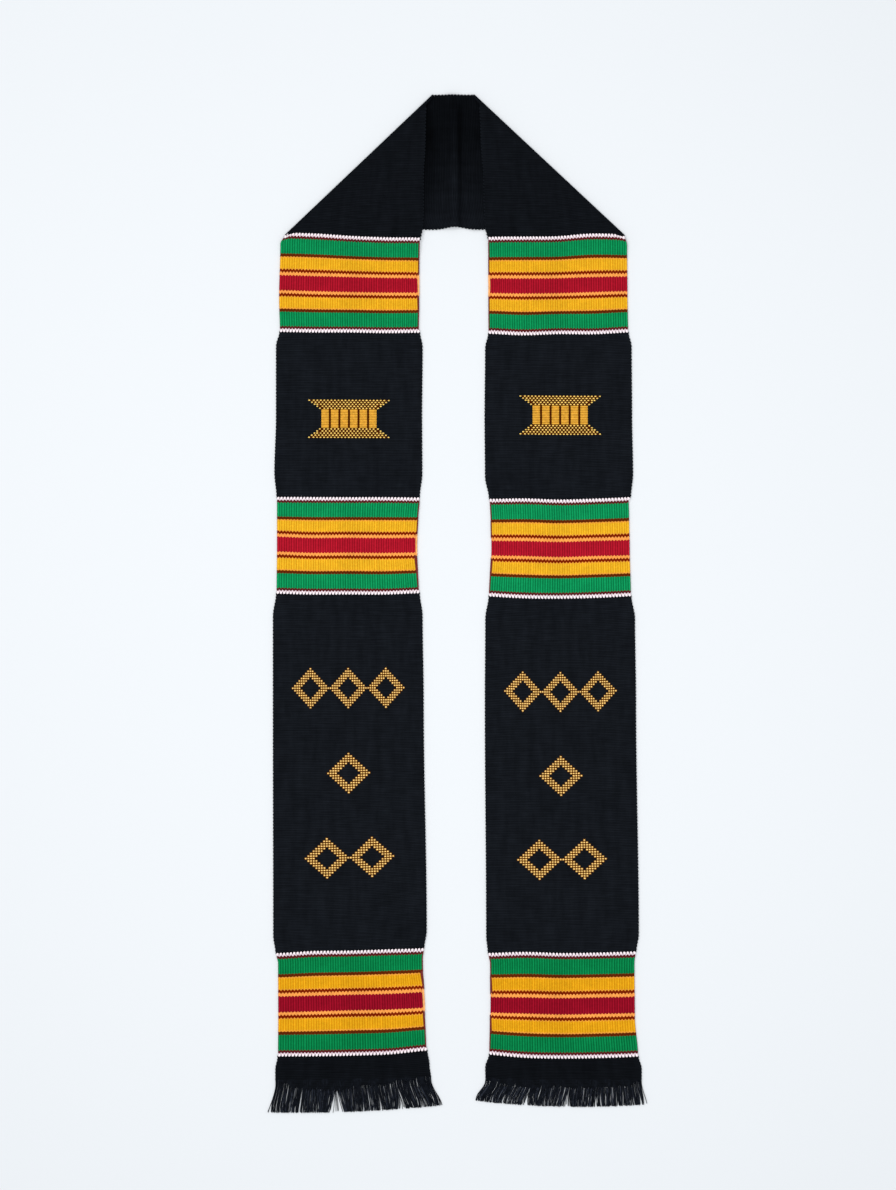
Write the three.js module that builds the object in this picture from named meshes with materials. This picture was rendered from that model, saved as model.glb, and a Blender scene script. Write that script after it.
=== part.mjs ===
// A woven graduation stole, one strip of kente cloth folded at both shoulders and lying flat.
// Millimetres. X runs across, Y from the fringes up to the neck, Z up from the surface it lies on.
import * as THREE from "three";

// Cloth
const clothWidth = 130; // relaxed black ground, selvedge to selvedge
const clothThick = 1.2; // black plain weave
const bandThick = 1.6; // ribbed coloured bands, packed with weft
const inlayThick = 0.6; // raised gold weft of the emblems and motifs
const fringeThick = 1.8; // warp ends, lying two deep
const pieceGap = 0.3; // clearance between neighbouring pieces

// Neck and shoulders
const legAxis = 92; // from the middle line to the middle of each leg
const neckSpan = 36.5; // top edge, from one shoulder fold to the other
const neckWidth = 117; // neck run, drawn in by its ripples, selvedge to selvedge
const neckHang = 8; // from the neck run's lower selvedge down to the first band
const foldGap = 0.6; // air between the two layers of a shoulder
const cornerInset = 5.4; // shoulder fold's low end, in from the leg's outer selvedge
const cornerRise = 3.2; // and up from the first band
const landing = 20; // stretch over which a leg comes down from the shoulder
const rippleHeight = 2.6; // highest ripple of the neck run
const rippleTuck = 0.9; // how much a ripple draws up the lower selvedge, as a share of its height
const fanStart = 0.15; // how fast the weft lines of the neck run fan out at its middle

// Lengths down a leg
const topBandLength = 85.5;
const upperPanelLength = 145.5;
const middleBandLength = 85.5;
const lowerPanelLength = 314;
const bottomBandLength = 90;
const hemLength = 22;
const fringeLength = 25;

// Spool emblem
const emblemFlare = 72.5; // width of its cap and base
const emblemWaist = 50; // width over the six columns
const emblemCap = 8;
const emblemColumns = 17;
const emblemBase = 9.5;
const columnGap = 1.6;
const columnCount = 6;

// Motif rows
const motifHeight = 36;

// Fringe
const slitWidth = 0.8; // between two locks, where they leave the hem

// Steps of the surfaces
const acrossSteps = 6;
const foldSteps = 6;
const neckSteps = 16;
const shoulderSteps = 4;
const longStep = 32; // longest step down a leg
const landingStep = 7; // longest step where a leg comes down

const colours = {
  black: { color: 0x15181d, roughness: 0.95 },
  white: { color: 0xf4e4e7, roughness: 0.9 },
  green: { color: 0x0e8a54, roughness: 0.85 },
  yellow: { color: 0xefae25, roughness: 0.85 },
  red: { color: 0xa8152b, roughness: 0.85 },
  gold: { color: 0xe0a335, roughness: 0.8 },
};

const sections = [
  { name: "top_band", length: topBandLength, thick: bandThick },
  { name: "upper_panel", length: upperPanelLength, thick: clothThick },
  { name: "middle_band", length: middleBandLength, thick: bandThick },
  { name: "lower_panel", length: lowerPanelLength, thick: clothThick },
  { name: "bottom_band", length: bottomBandLength, thick: bandThick },
  { name: "hem", length: hemLength, thick: clothThick },
  { name: "fringe", length: fringeLength, thick: fringeThick },
];

// Stripes of a band from its upper end, as shares of the band's length
const stripes = [
  { name: "white_above", colour: "white", share: 0.034 },
  { name: "green_above", colour: "green", share: 0.186 },
  { name: "yellow_above", colour: "yellow", share: 0.166 },
  { name: "red_core", colour: "red", share: 0.214 },
  { name: "yellow_below", colour: "yellow", share: 0.173 },
  { name: "green_below", colour: "green", share: 0.189 },
  { name: "white_below", colour: "white", share: 0.038 },
];

// Selvedges, measured from a leg's axis as shares of the cloth's width, at a share of a section
const selvedges = [
  { section: "top_band", at: 0, leftOut: 0.445, leftIn: 0.483, rightIn: 0.473, rightOut: 0.459 },
  { section: "top_band", at: 0.03, leftOut: 0.458, leftIn: 0.481, rightIn: 0.473, rightOut: 0.466 },
  { section: "top_band", at: 0.08, leftOut: 0.466, leftIn: 0.481, rightIn: 0.474, rightOut: 0.47 },
  { section: "top_band", at: 1, leftOut: 0.474, leftIn: 0.482, rightIn: 0.472, rightOut: 0.478 },
  { section: "upper_panel", at: 0.08, leftOut: 0.496, leftIn: 0.5, rightIn: 0.496, rightOut: 0.5 },
  { section: "upper_panel", at: 0.85, leftOut: 0.504, leftIn: 0.496, rightIn: 0.495, rightOut: 0.51 },
  { section: "upper_panel", at: 1, leftOut: 0.489, leftIn: 0.479, rightIn: 0.467, rightOut: 0.493 },
  { section: "middle_band", at: 0.5, leftOut: 0.489, leftIn: 0.466, rightIn: 0.459, rightOut: 0.488 },
  { section: "middle_band", at: 1, leftOut: 0.492, leftIn: 0.479, rightIn: 0.469, rightOut: 0.496 },
  { section: "lower_panel", at: 0.06, leftOut: 0.513, leftIn: 0.498, rightIn: 0.491, rightOut: 0.52 },
  { section: "lower_panel", at: 0.3, leftOut: 0.516, leftIn: 0.506, rightIn: 0.496, rightOut: 0.527 },
  { section: "lower_panel", at: 0.95, leftOut: 0.515, leftIn: 0.527, rightIn: 0.489, rightOut: 0.547 },
  { section: "lower_panel", at: 1, leftOut: 0.496, leftIn: 0.51, rightIn: 0.475, rightOut: 0.53 },
  { section: "bottom_band", at: 0.1, leftOut: 0.482, leftIn: 0.503, rightIn: 0.462, rightOut: 0.52 },
  { section: "bottom_band", at: 1, leftOut: 0.482, leftIn: 0.53, rightIn: 0.466, rightOut: 0.537 },
  { section: "hem", at: 0.5, leftOut: 0.502, leftIn: 0.547, rightIn: 0.496, rightOut: 0.561 },
  { section: "hem", at: 1, leftOut: 0.504, leftIn: 0.561, rightIn: 0.496, rightOut: 0.567 },
  { section: "fringe", at: 1, leftOut: 0.534, leftIn: 0.622, rightIn: 0.56, rightOut: 0.588 },
];

// How far the weft lies below its straight line at both selvedges and the middle of each leg
const wanders = [
  { section: "top_band", at: 0, leftOut: -0.007, leftMid: -0.01, leftIn: 0.014, rightIn: 0.02,
    rightMid: -0.001, rightOut: 0.009 },
  { section: "top_band", at: 1, leftOut: -0.007, leftMid: -0.004, leftIn: 0, rightIn: 0.013,
    rightMid: 0.003, rightOut: -0.007 },
  { section: "upper_panel", at: 1, leftOut: -0.01, leftMid: -0.01, leftIn: -0.01, rightIn: 0.016,
    rightMid: 0.016, rightOut: -0.003 },
  { section: "middle_band", at: 1, leftOut: -0.01, leftMid: -0.01, leftIn: -0.01, rightIn: 0.004,
    rightMid: 0.02, rightOut: 0.004 },
  { section: "lower_panel", at: 1, leftOut: 0.007, leftMid: -0.002, leftIn: -0.031, rightIn: 0.011,
    rightMid: 0.007, rightOut: -0.005 },
  { section: "bottom_band", at: 1, leftOut: 0.007, leftMid: -0.009, leftIn: -0.029, rightIn: -0.001,
    rightMid: 0.028, rightOut: 0.012 },
  { section: "hem", at: 1, leftOut: 0.007, leftMid: 0, leftIn: -0.014, rightIn: -0.007,
    rightMid: 0.007, rightOut: 0 },
  { section: "fringe", at: 1, leftOut: 0.025, leftMid: 0.02, leftIn: -0.022, rightIn: -0.054,
    rightMid: -0.014, rightOut: -0.028 },
];

// Inner selvedge of a folded shoulder: how far outwards it bows, as a share of the cloth's width
const shoulderBows = [
  { at: 0, out: 0 },
  { at: 0.07, out: 0.028 },
  { at: 0.45, out: 0.01 },
  { at: 0.93, out: -0.01 },
  { at: 1, out: 0 },
];

// Ripples of the neck run: place and spread as shares of the neck span, height of the highest
const ripples = [
  { at: -0.02, spread: 0.17, height: 1 },
  { at: 0.5, spread: 0.13, height: 0.4 },
];

// Slits of the fringe: place and width at the tips as shares of the fringe's width
const fringeSlits = {
  left: [
    { at: 0.1, width: 0.01 },
    { at: 0.19, width: 0.02 },
    { at: 0.3, width: 0.01 },
    { at: 0.405, width: 0.1 },
    { at: 0.52, width: 0.01 },
    { at: 0.64, width: 0.01 },
    { at: 0.765, width: 0.035 },
    { at: 0.885, width: 0.02 },
  ],
  right: [
    { at: 0.11, width: 0.01 },
    { at: 0.18, width: 0.01 },
    { at: 0.295, width: 0.015 },
    { at: 0.4, width: 0.01 },
    { at: 0.515, width: 0.025 },
    { at: 0.635, width: 0.01 },
    { at: 0.72, width: 0.01 },
    { at: 0.83, width: 0.02 },
    { at: 0.91, width: 0.01 },
  ],
};

// A stepped lozenge, open in the middle, whose side tips meet the next one's
const lozengeChart = [
  "...#...",
  "..###..",
  ".##.##.",
  "##...##",
  ".##.##.",
  "..###..",
  "...#...",
];

// Place down the lower panel as a share of its length, width as a share of the cloth's
const motifRows = [
  { name: "motif_row_1", down: 0.26, width: 0.765, lozenges: 3 },
  { name: "motif_row_2", down: 0.497, width: 0.295, lozenges: 1 },
  { name: "motif_row_3", down: 0.733, width: 0.61, lozenges: 2 },
];

const legs = [
  { name: "left", sign: -1, emblemDown: 0.52 },
  { name: "right", sign: 1, emblemDown: 0.49 },
];

let reach = 0;
for (const section of sections) {
  section.start = reach;
  reach += section.length;
}
const sectionNamed = Object.fromEntries(sections.map((section) => [section.name, section]));
for (const row of [...selvedges, ...wanders]) {
  const section = sectionNamed[row.section];
  row.station = section.start + row.at * section.length;
}

// Height of the upper layer of a folded shoulder over the surface that the stole lies on
const shoulderLift = clothThick + foldGap;
const neckTop = neckWidth + neckHang;

const { lerp, smoothstep, clamp } = THREE.MathUtils;

// Value of a table's column at a place, easing from row to row
function column(rows, key, place, name) {
  const above = rows.findIndex((row) => row[key] >= place);
  if (above === 0) return rows[0][name];
  if (above === -1) return rows.at(-1)[name];
  const [before, after] = [rows[above - 1], rows[above]];
  return lerp(before[name], after[name], smoothstep(place, before[key], after[key]));
}

// Curve through three values at 0, a half and 1
function bend(start, middle, end, share) {
  return start * (1 - share) * (1 - 2 * share) + 4 * middle * share * (1 - share)
    + end * share * (2 * share - 1);
}

// Underside of a leg. across runs from the outer selvedge, 0, to the inner one, 1
function legPoint(leg, down, across) {
  const outer = column(selvedges, "station", down, `${leg.name}Out`);
  const inner = column(selvedges, "station", down, `${leg.name}In`);
  const drop = bend(
    column(wanders, "station", down, `${leg.name}Out`),
    column(wanders, "station", down, `${leg.name}Mid`),
    column(wanders, "station", down, `${leg.name}In`),
    across,
  );
  const x = leg.sign * (legAxis + clothWidth * lerp(outer, -inner, across));
  const y = -down - clothWidth * drop;
  const z = shoulderLift * (1 - smoothstep(down, -neckHang / 2, landing));
  return new THREE.Vector3(x, y, z);
}

// Closed solid over the filled cells of a grid, between a low and a high surface
function quilt(columns, rows, filled, low, high) {
  const positions = [];
  const triangles = [];
  const numbers = new Map();
  const vertex = (i, j, side) => {
    const key = `${i},${j},${side}`;
    if (!numbers.has(key)) {
      const point = (side === "high" ? high : low)(columns[i], rows[j]);
      numbers.set(key, positions.length / 3);
      positions.push(point.x, point.y, point.z);
    }
    return numbers.get(key);
  };
  const face = (a, b, c, d) => triangles.push(a, b, c, a, c, d);
  const isFilled = (i, j) =>
    i >= 0 && j >= 0 && i < columns.length - 1 && j < rows.length - 1 && filled(i, j);
  for (let i = 0; i < columns.length - 1; i += 1) {
    for (let j = 0; j < rows.length - 1; j += 1) {
      if (!isFilled(i, j)) continue;
      const corners = [[i, j], [i + 1, j], [i + 1, j + 1], [i, j + 1]];
      const neighbours = [[i, j - 1], [i + 1, j], [i, j + 1], [i - 1, j]];
      face(...corners.map(([p, q]) => vertex(p, q, "high")));
      face(...corners.map(([p, q]) => vertex(p, q, "low")).reverse());
      neighbours.forEach(([p, q], side) => {
        if (isFilled(p, q)) return;
        const [a, b] = [corners[side], corners[(side + 1) % 4]];
        face(vertex(...a, "low"), vertex(...b, "low"), vertex(...b, "high"), vertex(...a, "high"));
      });
    }
  }
  return closedGeometry(positions, triangles);
}

// Geometry whose faces point out, whichever way the grid ran
function closedGeometry(positions, triangles) {
  const corner = (index) => new THREE.Vector3().fromArray(positions, 3 * triangles[index]);
  let volume = 0;
  for (let t = 0; t < triangles.length; t += 3) {
    volume += corner(t).dot(corner(t + 1).cross(corner(t + 2)));
  }
  const geometry = new THREE.BufferGeometry();
  geometry.setAttribute("position", new THREE.Float32BufferAttribute(positions, 3));
  geometry.setIndex(volume < 0 ? triangles.reverse() : triangles);
  return geometry;
}

function even(count, from = 0, to = 1) {
  return Array.from({ length: count + 1 }, (_, k) => lerp(from, to, k / count));
}

// Grid lines down a leg: at both ends, at the table's rows between them, and in short steps
function stations(from, to) {
  const margin = 2 * pieceGap;
  const inner = selvedges.map((row) => row.station).filter((s) => s > from + margin && s < to - margin);
  const marks = [from, ...inner, to];
  return marks.slice(1).reduce((lines, end, k) => {
    const step = marks[k] < landing ? landingStep : longStep;
    const count = Math.max(1, Math.ceil((end - marks[k]) / step));
    return [...lines, ...even(count, marks[k], end).slice(1)];
  }, [from]);
}

// A stretch of a leg, cut back at both ends by half of the clearance
function legPiece(leg, from, to, thick) {
  const rows = stations(from + pieceGap / 2, to - pieceGap / 2);
  const low = (across, down) => legPoint(leg, down, across);
  const high = (across, down) => low(across, down).setZ(low(across, down).z + thick);
  return quilt(even(acrossSteps), rows, () => true, low, high);
}

// Raised weft on top of a panel, in a grid laid out round a centre on the leg's axis
function inlay(leg, section, centreDown, columns, rows, filled, spread) {
  const bottom = section.thick + pieceGap;
  const place = (height) => (u, v) => {
    const down = section.start + centreDown * section.length + v;
    const left = legPoint(leg, down, 0);
    const right = legPoint(leg, down, 1);
    const across = 0.5 + (u * spread(v)) / left.distanceTo(right);
    const point = legPoint(leg, down, across);
    return point.setZ(point.z + height);
  };
  return quilt(columns, rows, filled, place(bottom), place(bottom + inlayThick));
}

function spoolEmblem(leg) {
  const width = (emblemWaist - (columnCount - 1) * columnGap) / columnCount;
  const columns = [];
  for (let k = 0; k < columnCount; k += 1) {
    const left = -emblemWaist / 2 + k * (width + columnGap);
    columns.push(left, left + width);
  }
  const top = -(emblemCap + emblemColumns + emblemBase) / 2;
  const rows = [top, top + emblemCap, top + emblemCap + emblemColumns, -top];
  const filled = (i, j) => j !== 1 || i % 2 === 0;
  const spread = (v) => (v === rows[0] || v === rows[3] ? emblemFlare / emblemWaist : 1);
  return inlay(leg, sectionNamed.upper_panel, leg.emblemDown, columns, rows, filled, spread);
}

function motifRow(leg, motif) {
  const cells = lozengeChart.length;
  const halfWidth = (motif.width * clothWidth) / 2;
  const columns = even(motif.lozenges * cells, -halfWidth, halfWidth);
  const rows = even(cells, -motifHeight / 2, motifHeight / 2);
  const filled = (i, j) => lozengeChart[j][i % cells] === "#";
  return inlay(leg, sectionNamed.lower_panel, motif.down, columns, rows, filled, () => 1);
}

// Hem and fringe in one piece: the slits open from the hem to the tips
function hemFringe(leg) {
  const { hem, fringe } = sectionNamed;
  const slits = fringeSlits[leg.name];
  const sides = slits.flatMap((slit) => [{ ...slit, side: -1 }, { ...slit, side: 1 }]);
  const edges = [{ at: 0, width: 0, side: 0 }, ...sides, { at: 1, width: 0, side: 0 }];
  const rows = [hem.start + pieceGap / 2, hem.start + hem.length / 2, fringe.start,
    fringe.start + fringe.length / 2, fringe.start + fringe.length];
  const tipWidth = legPoint(leg, rows.at(-1), 0).distanceTo(legPoint(leg, rows.at(-1), 1));
  const narrow = slitWidth / tipWidth;
  const share = ({ at, width, side }, down) => {
    const open = clamp((down - fringe.start) / fringe.length, 0, 1);
    return at + (side * lerp(narrow, Math.max(narrow, width), open)) / 2;
  };
  const low = (edge, down) => legPoint(leg, down, share(edge, down));
  const high = (edge, down) => {
    const point = low(edge, down);
    return point.setZ(point.z + lerp(hem.thick, fringe.thick, smoothstep(down, hem.start, fringe.start)));
  };
  const filled = (i, j) => i % 2 === 0 || rows[j] < fringe.start;
  return quilt(edges, rows, filled, low, high);
}

// One line of the yoke's cloth from the outer selvedge to the inner one: middle surface and normal
function yokeLines() {
  const up = new THREE.Vector3(0, 0, 1);
  const radius = shoulderLift / 2; // of the cloth's middle surface round a fold
  const inset = (radius + clothThick / 2) * Math.SQRT1_2; // of a fold's axis from the stole's corner
  const ends = Object.fromEntries(legs.map((leg) => {
    const corner = legPoint(leg, -pieceGap / 2, 0);
    const low = new THREE.Vector3(corner.x - leg.sign * cornerInset, corner.y + cornerRise, 0);
    const high = new THREE.Vector3(leg.sign * (neckSpan / 2 - inset), neckTop - inset, 0);
    const along = high.clone().sub(low).normalize();
    const out = new THREE.Vector3(-along.y, along.x, 0).multiplyScalar(-leg.sign);
    return [leg.name, { low, high, out }];
  }));
  const foldLine = (leg, turn) => (across) => {
    const { low, high, out } = ends[leg.name];
    const normal = out.clone().multiplyScalar(Math.cos(turn)).addScaledVector(up, Math.sin(turn));
    const point = low.clone().lerp(high, across).addScaledVector(normal, radius);
    return { point: point.setZ(point.z + clothThick / 2 + radius), normal };
  };
  const shoulderLine = (leg, share) => (across) => {
    const fold = foldLine(leg, Math.PI / 2)(across).point;
    const end = legPoint(leg, -pieceGap / 2, across);
    const point = fold.clone().lerp(end.setZ(end.z + clothThick / 2), share);
    const bow = column(shoulderBows, "at", share, "out") * clothWidth * across;
    return { point: point.setX(point.x + leg.sign * bow), normal: up };
  };
  const neckLine = (turn) => (across) => {
    const { low, high } = ends[turn < 0 ? "left" : "right"];
    const fan = Math.abs(turn) * lerp(fanStart, 1, turn * turn);
    const lowest = new THREE.Vector3(low.x * fan, lerp(neckHang, low.y, fan), 0);
    const highest = new THREE.Vector3(high.x * Math.abs(turn), lerp(neckTop, high.y, turn ** 4), 0);
    const point = lowest.lerp(highest, across);
    const ripple = ripples.reduce((sum, row) => {
      const away = (point.x / neckSpan - row.at) / row.spread;
      return sum + rippleHeight * row.height * Math.exp(-away * away);
    }, 0);
    point.y += rippleTuck * ripple * (1 - across);
    return { point: point.setZ(clothThick / 2 + ripple), normal: up.clone().negate() };
  };
  const [left, right] = legs;
  const turns = even(foldSteps, Math.PI / 2, -Math.PI / 2);
  return [
    ...even(shoulderSteps, 1, 0).slice(0, -1).map((share) => shoulderLine(left, share)),
    ...turns.map((turn) => foldLine(left, turn)),
    ...even(neckSteps, -1, 1).slice(1, -1).map((turn) => neckLine(turn)),
    ...turns.toReversed().map((turn) => foldLine(right, turn)),
    ...even(shoulderSteps, 0, 1).slice(1).map((share) => shoulderLine(right, share)),
  ];
}

// The neck run and both folded shoulders. The outside of a fold is the cloth's outer face
function yoke() {
  const lines = yokeLines();
  const face = (side) => (across, row) => {
    const { point, normal } = lines[row](across);
    return point.clone().addScaledVector(normal, (side * clothThick) / 2);
  };
  return quilt(even(acrossSteps), [...lines.keys()], () => true, face(-1), face(1));
}

const stole = new THREE.Group();

function add(name, geometry, colour) {
  const material = new THREE.MeshStandardMaterial({ ...colours[colour], metalness: 0 });
  const mesh = new THREE.Mesh(geometry, material);
  mesh.name = name;
  stole.add(mesh);
}

add("yoke", yoke(), "black");
for (const leg of legs) {
  for (const section of sections) {
    const name = `${leg.name}_${section.name}`;
    if (section.name.endsWith("panel")) {
      add(name, legPiece(leg, section.start, section.start + section.length, section.thick), "black");
    }
    if (section.name.endsWith("band")) {
      let from = section.start;
      for (const stripe of stripes) {
        const to = from + stripe.share * section.length;
        add(`${name}_${stripe.name}`, legPiece(leg, from, to, section.thick), stripe.colour);
        from = to;
      }
    }
  }
  add(`${leg.name}_hem_fringe`, hemFringe(leg), "black");
  add(`${leg.name}_spool_emblem`, spoolEmblem(leg), "gold");
  for (const motif of motifRows) {
    add(`${leg.name}_${motif.name}`, motifRow(leg, motif), "gold");
  }
}

// The origin lies under the middle of the whole stole
const box = new THREE.Box3().setFromObject(stole);
const middle = box.getCenter(new THREE.Vector3());
stole.position.set(-middle.x, -middle.y, -box.min.z);

export default stole;
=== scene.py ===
# %% [markdown]
# A woven graduation stole. One long strip of cloth is worn round the neck: black ground with ribbed
# bands in white, green, yellow and red, gold figures woven on top, and a fringe at both ends. It lies
# flat here, with a diagonal fold at each shoulder, and the camera looks straight down on it.
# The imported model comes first, because every piece of this scene stands where one of its solids is.

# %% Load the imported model
import math
import bpy
import numpy as np
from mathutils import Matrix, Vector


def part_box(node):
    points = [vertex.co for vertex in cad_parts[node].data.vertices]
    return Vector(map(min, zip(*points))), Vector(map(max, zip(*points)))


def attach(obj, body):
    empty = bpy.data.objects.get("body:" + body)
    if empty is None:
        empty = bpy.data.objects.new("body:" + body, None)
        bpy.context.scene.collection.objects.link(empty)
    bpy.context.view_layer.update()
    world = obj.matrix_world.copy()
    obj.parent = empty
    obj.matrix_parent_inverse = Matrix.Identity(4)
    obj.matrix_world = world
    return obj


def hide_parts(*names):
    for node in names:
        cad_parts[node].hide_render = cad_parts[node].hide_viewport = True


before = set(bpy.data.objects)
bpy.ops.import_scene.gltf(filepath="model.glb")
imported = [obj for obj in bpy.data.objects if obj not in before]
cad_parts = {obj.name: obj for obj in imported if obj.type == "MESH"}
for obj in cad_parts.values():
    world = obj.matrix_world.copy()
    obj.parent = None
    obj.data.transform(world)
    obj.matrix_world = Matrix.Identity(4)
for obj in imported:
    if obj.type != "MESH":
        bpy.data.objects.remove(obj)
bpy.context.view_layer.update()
print("nodes in the packed model:", len(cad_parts))

# %% [markdown]
# The stole's own sizes, in millimetres, and the tables that say how its edges and its weft wander. A
# woven strip is never a true rectangle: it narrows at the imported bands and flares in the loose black
# ground. The first two tables are those of the model's source, so the cloth made here fits its solids.
# The third adds waves of up to three millimetres to the bands' ends, which only a close view shows.

# %% Sizes and tables of the strip
MM = 0.001
CLOTH_WIDTH = 130.0
CLOTH_THICK = 1.2
BAND_THICK = 1.6
PIECE_GAP = 0.3
LEG_AXIS = 92.0
NECK_SPAN = 36.5
NECK_WIDTH = 117.0
NECK_HANG = 8.0
FOLD_GAP = 0.6
CORNER_RISE = 0.2
CORNER_DROP = {"left": 3.2, "right": 2.0}
CORNER_REACH = 11.0
CORNER_PULL = {"left": 2.4, "right": 1.7}
DROP_LENGTH = 14
PULL_LENGTH = 9
LANDING = 20.0
RIPPLE_HEIGHT = 2.6
NECK_ARCH = 2.8
ARCH_PLACE = 1.5
ARCH_WIDTH = 11
NECK_SAG = 2
SAG_REACH = 27
NECK_RISE = 0.1
SHOULDER_PUFF = 0.9
FAN_START = 0.15
SHIFT = np.array([-3.51, 322.86, 0.0])
SIGN = {"left": -1, "right": 1}

LENGTHS = {
    "top_band": 85.5,
    "upper_panel": 145.5,
    "middle_band": 85.5,
    "lower_panel": 314.0,
    "bottom_band": 90.0,
    "hem": 22.0,
    "fringe": 25.0,
}
STARTS = dict(zip(LENGTHS, np.cumsum([0.0, *LENGTHS.values()])))

# section, place in it, then outer and inner edge of the left leg, inner and outer edge of the right leg
EDGE_ROWS = [
    ("top_band", 0, 0.445, 0.483, 0.473, 0.459),
    ("top_band", 0.03, 0.458, 0.481, 0.473, 0.466),
    ("top_band", 0.08, 0.466, 0.481, 0.474, 0.47),
    ("top_band", 0.65, 0.475, 0.483, 0.474, 0.473),
    ("top_band", 1, 0.469, 0.481, 0.472, 0.477),
    ("upper_panel", 0.08, 0.492, 0.498, 0.492, 0.497),
    ("upper_panel", 0.5, 0.492, 0.494, 0.496, 0.5),
    ("upper_panel", 0.85, 0.503, 0.496, 0.493, 0.507),
    ("upper_panel", 1, 0.489, 0.479, 0.467, 0.493),
    ("middle_band", 0.03, 0.489, 0.478, 0.466, 0.481),
    ("middle_band", 0.2, 0.489, 0.472, 0.462, 0.484),
    ("middle_band", 0.5, 0.489, 0.466, 0.459, 0.488),
    ("middle_band", 1, 0.492, 0.479, 0.469, 0.496),
    ("lower_panel", 0.06, 0.513, 0.498, 0.491, 0.52),
    ("lower_panel", 0.3, 0.513, 0.505, 0.494, 0.527),
    ("lower_panel", 0.95, 0.511, 0.526, 0.485, 0.546),
    ("lower_panel", 1, 0.496, 0.51, 0.475, 0.53),
    ("bottom_band", 0.1, 0.482, 0.503, 0.462, 0.52),
    ("bottom_band", 0.6, 0.481, 0.521, 0.464, 0.523),
    ("bottom_band", 1, 0.482, 0.531, 0.467, 0.545),
    ("hem", 0.5, 0.497, 0.545, 0.492, 0.566),
    ("hem", 1, 0.497, 0.556, 0.49, 0.565),
    ("fringe", 1, 0.534, 0.622, 0.56, 0.588),
]
# section, place, then the weft's drop at the outer edge, middle and inner edge of the left leg, and at
# the inner edge, middle and outer edge of the right leg
WANDER_ROWS = [
    ("top_band", 0, -0.007, -0.01, 0.014, 0.02, -0.001, 0.009),
    ("top_band", 1, -0.007, -0.004, 0, 0.013, 0.003, -0.007),
    ("upper_panel", 1, -0.01, -0.01, -0.01, 0.016, 0.016, -0.003),
    ("middle_band", 1, -0.01, -0.01, -0.01, 0.004, 0.02, 0.004),
    ("lower_panel", 1, 0.007, -0.002, -0.031, 0.011, 0.007, -0.005),
    ("bottom_band", 1, 0.007, -0.009, -0.029, -0.001, 0.028, 0.012),
    ("hem", 1, 0.007, 0, -0.014, -0.007, 0.007, 0),
    ("fringe", 1, 0.025, 0.02, -0.022, -0.054, -0.014, -0.028),
]

# section, place, then how much higher the weft lies, in mm: at five places from the outer edge of the left
# leg to its inner edge, and at five from the outer edge of the right leg to its inner edge
STILL = (0,) * 10
NUDGE_ROWS = [
    ("top_band", 0, 2.4, 1.1, -0.7, -0.8, 0.8, 2.9, 2.7, 0.2, 0.8, 2.2),
    ("top_band", 0.5, 0.8, -0.3, -0.8, -0.7, 0.1, 0.8, -0.1, -0.8, -0.3, 1.1),
    ("top_band", 1, 0.6, 0.3, 0.5, 0.2, 0.8, 0.2, -0.8, 0, -0.4, 1.6),
    ("upper_panel", 0.2, *STILL),
    ("upper_panel", 0.8, *STILL),
    ("middle_band", 0, 0.8, 0.7, 0.6, 0.6, 0.3, 1.6, 1.8, 1.9, 3.2, 2.5),
    ("middle_band", 0.5, 1.6, 0.4, 0.6, 0.3, 0.6, -0.2, 0.6, 0.4, 1.1, 0.6),
    ("middle_band", 1, 1.0, 0.2, 0.3, 0.2, 1.4, 0.7, 0.7, 0.5, 0.3, 0.5),
    ("lower_panel", 0.1, *STILL),
    ("lower_panel", 0.9, *STILL),
    ("bottom_band", 0, 1.3, 2.9, 2.4, 1.9, 0.8, 1.3, 1.2, 1.4, 2.8, 2.0),
    ("bottom_band", 0.5, 0.6, 0.7, 0.6, -0.1, -0.2, -0.3, 0.3, 0.2, 0.5, 0),
    ("bottom_band", 1, 0, -0.8, -1.3, -1.4, 0.6, 0.7, 1.1, 0.9, 0.4, 0.8),
    ("fringe", 0, *STILL),
]


def span(section):
    return STARTS[section], STARTS[section] + LENGTHS[section]


def with_stations(rows):
    return np.array([[STARTS[name] + at * LENGTHS[name], *values] for name, at, *values in rows])


EDGES = with_stations(EDGE_ROWS)
WANDERS = with_stations(WANDER_ROWS)
NUDGES = with_stations(NUDGE_ROWS)
EDGE_COLUMNS = {"left": (1, 2), "right": (4, 3)}
WANDER_COLUMNS = {"left": (1, 2, 3), "right": (6, 5, 4)}
print("length of a leg, mm:", sum(LENGTHS.values()))

# %% [markdown]
# A few helpers place any point of a leg: `down` runs from the shoulder to the fringe and `across` from
# the outer edge, 0, to the inner edge, 1. Arrays go in and arrays come out, so thousands of points of
# ribs and stitches are placed at once. `band_mm` also rounds off the top band's outer corner, where the
# fold above pulls on it. The result is printed beside the box of one of the solids.

# %% Place points on a leg
def smoothstep(value, start, end):
    share = np.clip((value - start) / (end - start), 0, 1)
    return share * share * (3 - 2 * share)


def column(rows, place, index):
    place = np.asarray(place, float)
    after = np.clip(np.searchsorted(rows[:, 0], place), 1, len(rows) - 1)
    before = after - 1
    share = smoothstep(place, rows[before, 0], rows[after, 0])
    return rows[before, index] + (rows[after, index] - rows[before, index]) * share


def nudge(leg, down, across):
    spot = np.clip(across, 0, 1) * 4
    cell = np.minimum(spot.astype(int), 3)
    t = spot - cell
    first = 1 if leg == "left" else 6
    a, b, c, d = (column(NUDGES, down, first + np.clip(cell + k, 0, 4)) for k in (-1, 0, 1, 2))
    return b + 0.5 * t * (c - a + t * (2 * a - 5 * b + 4 * c - d + t * (3 * (b - c) + d - a)))


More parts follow.
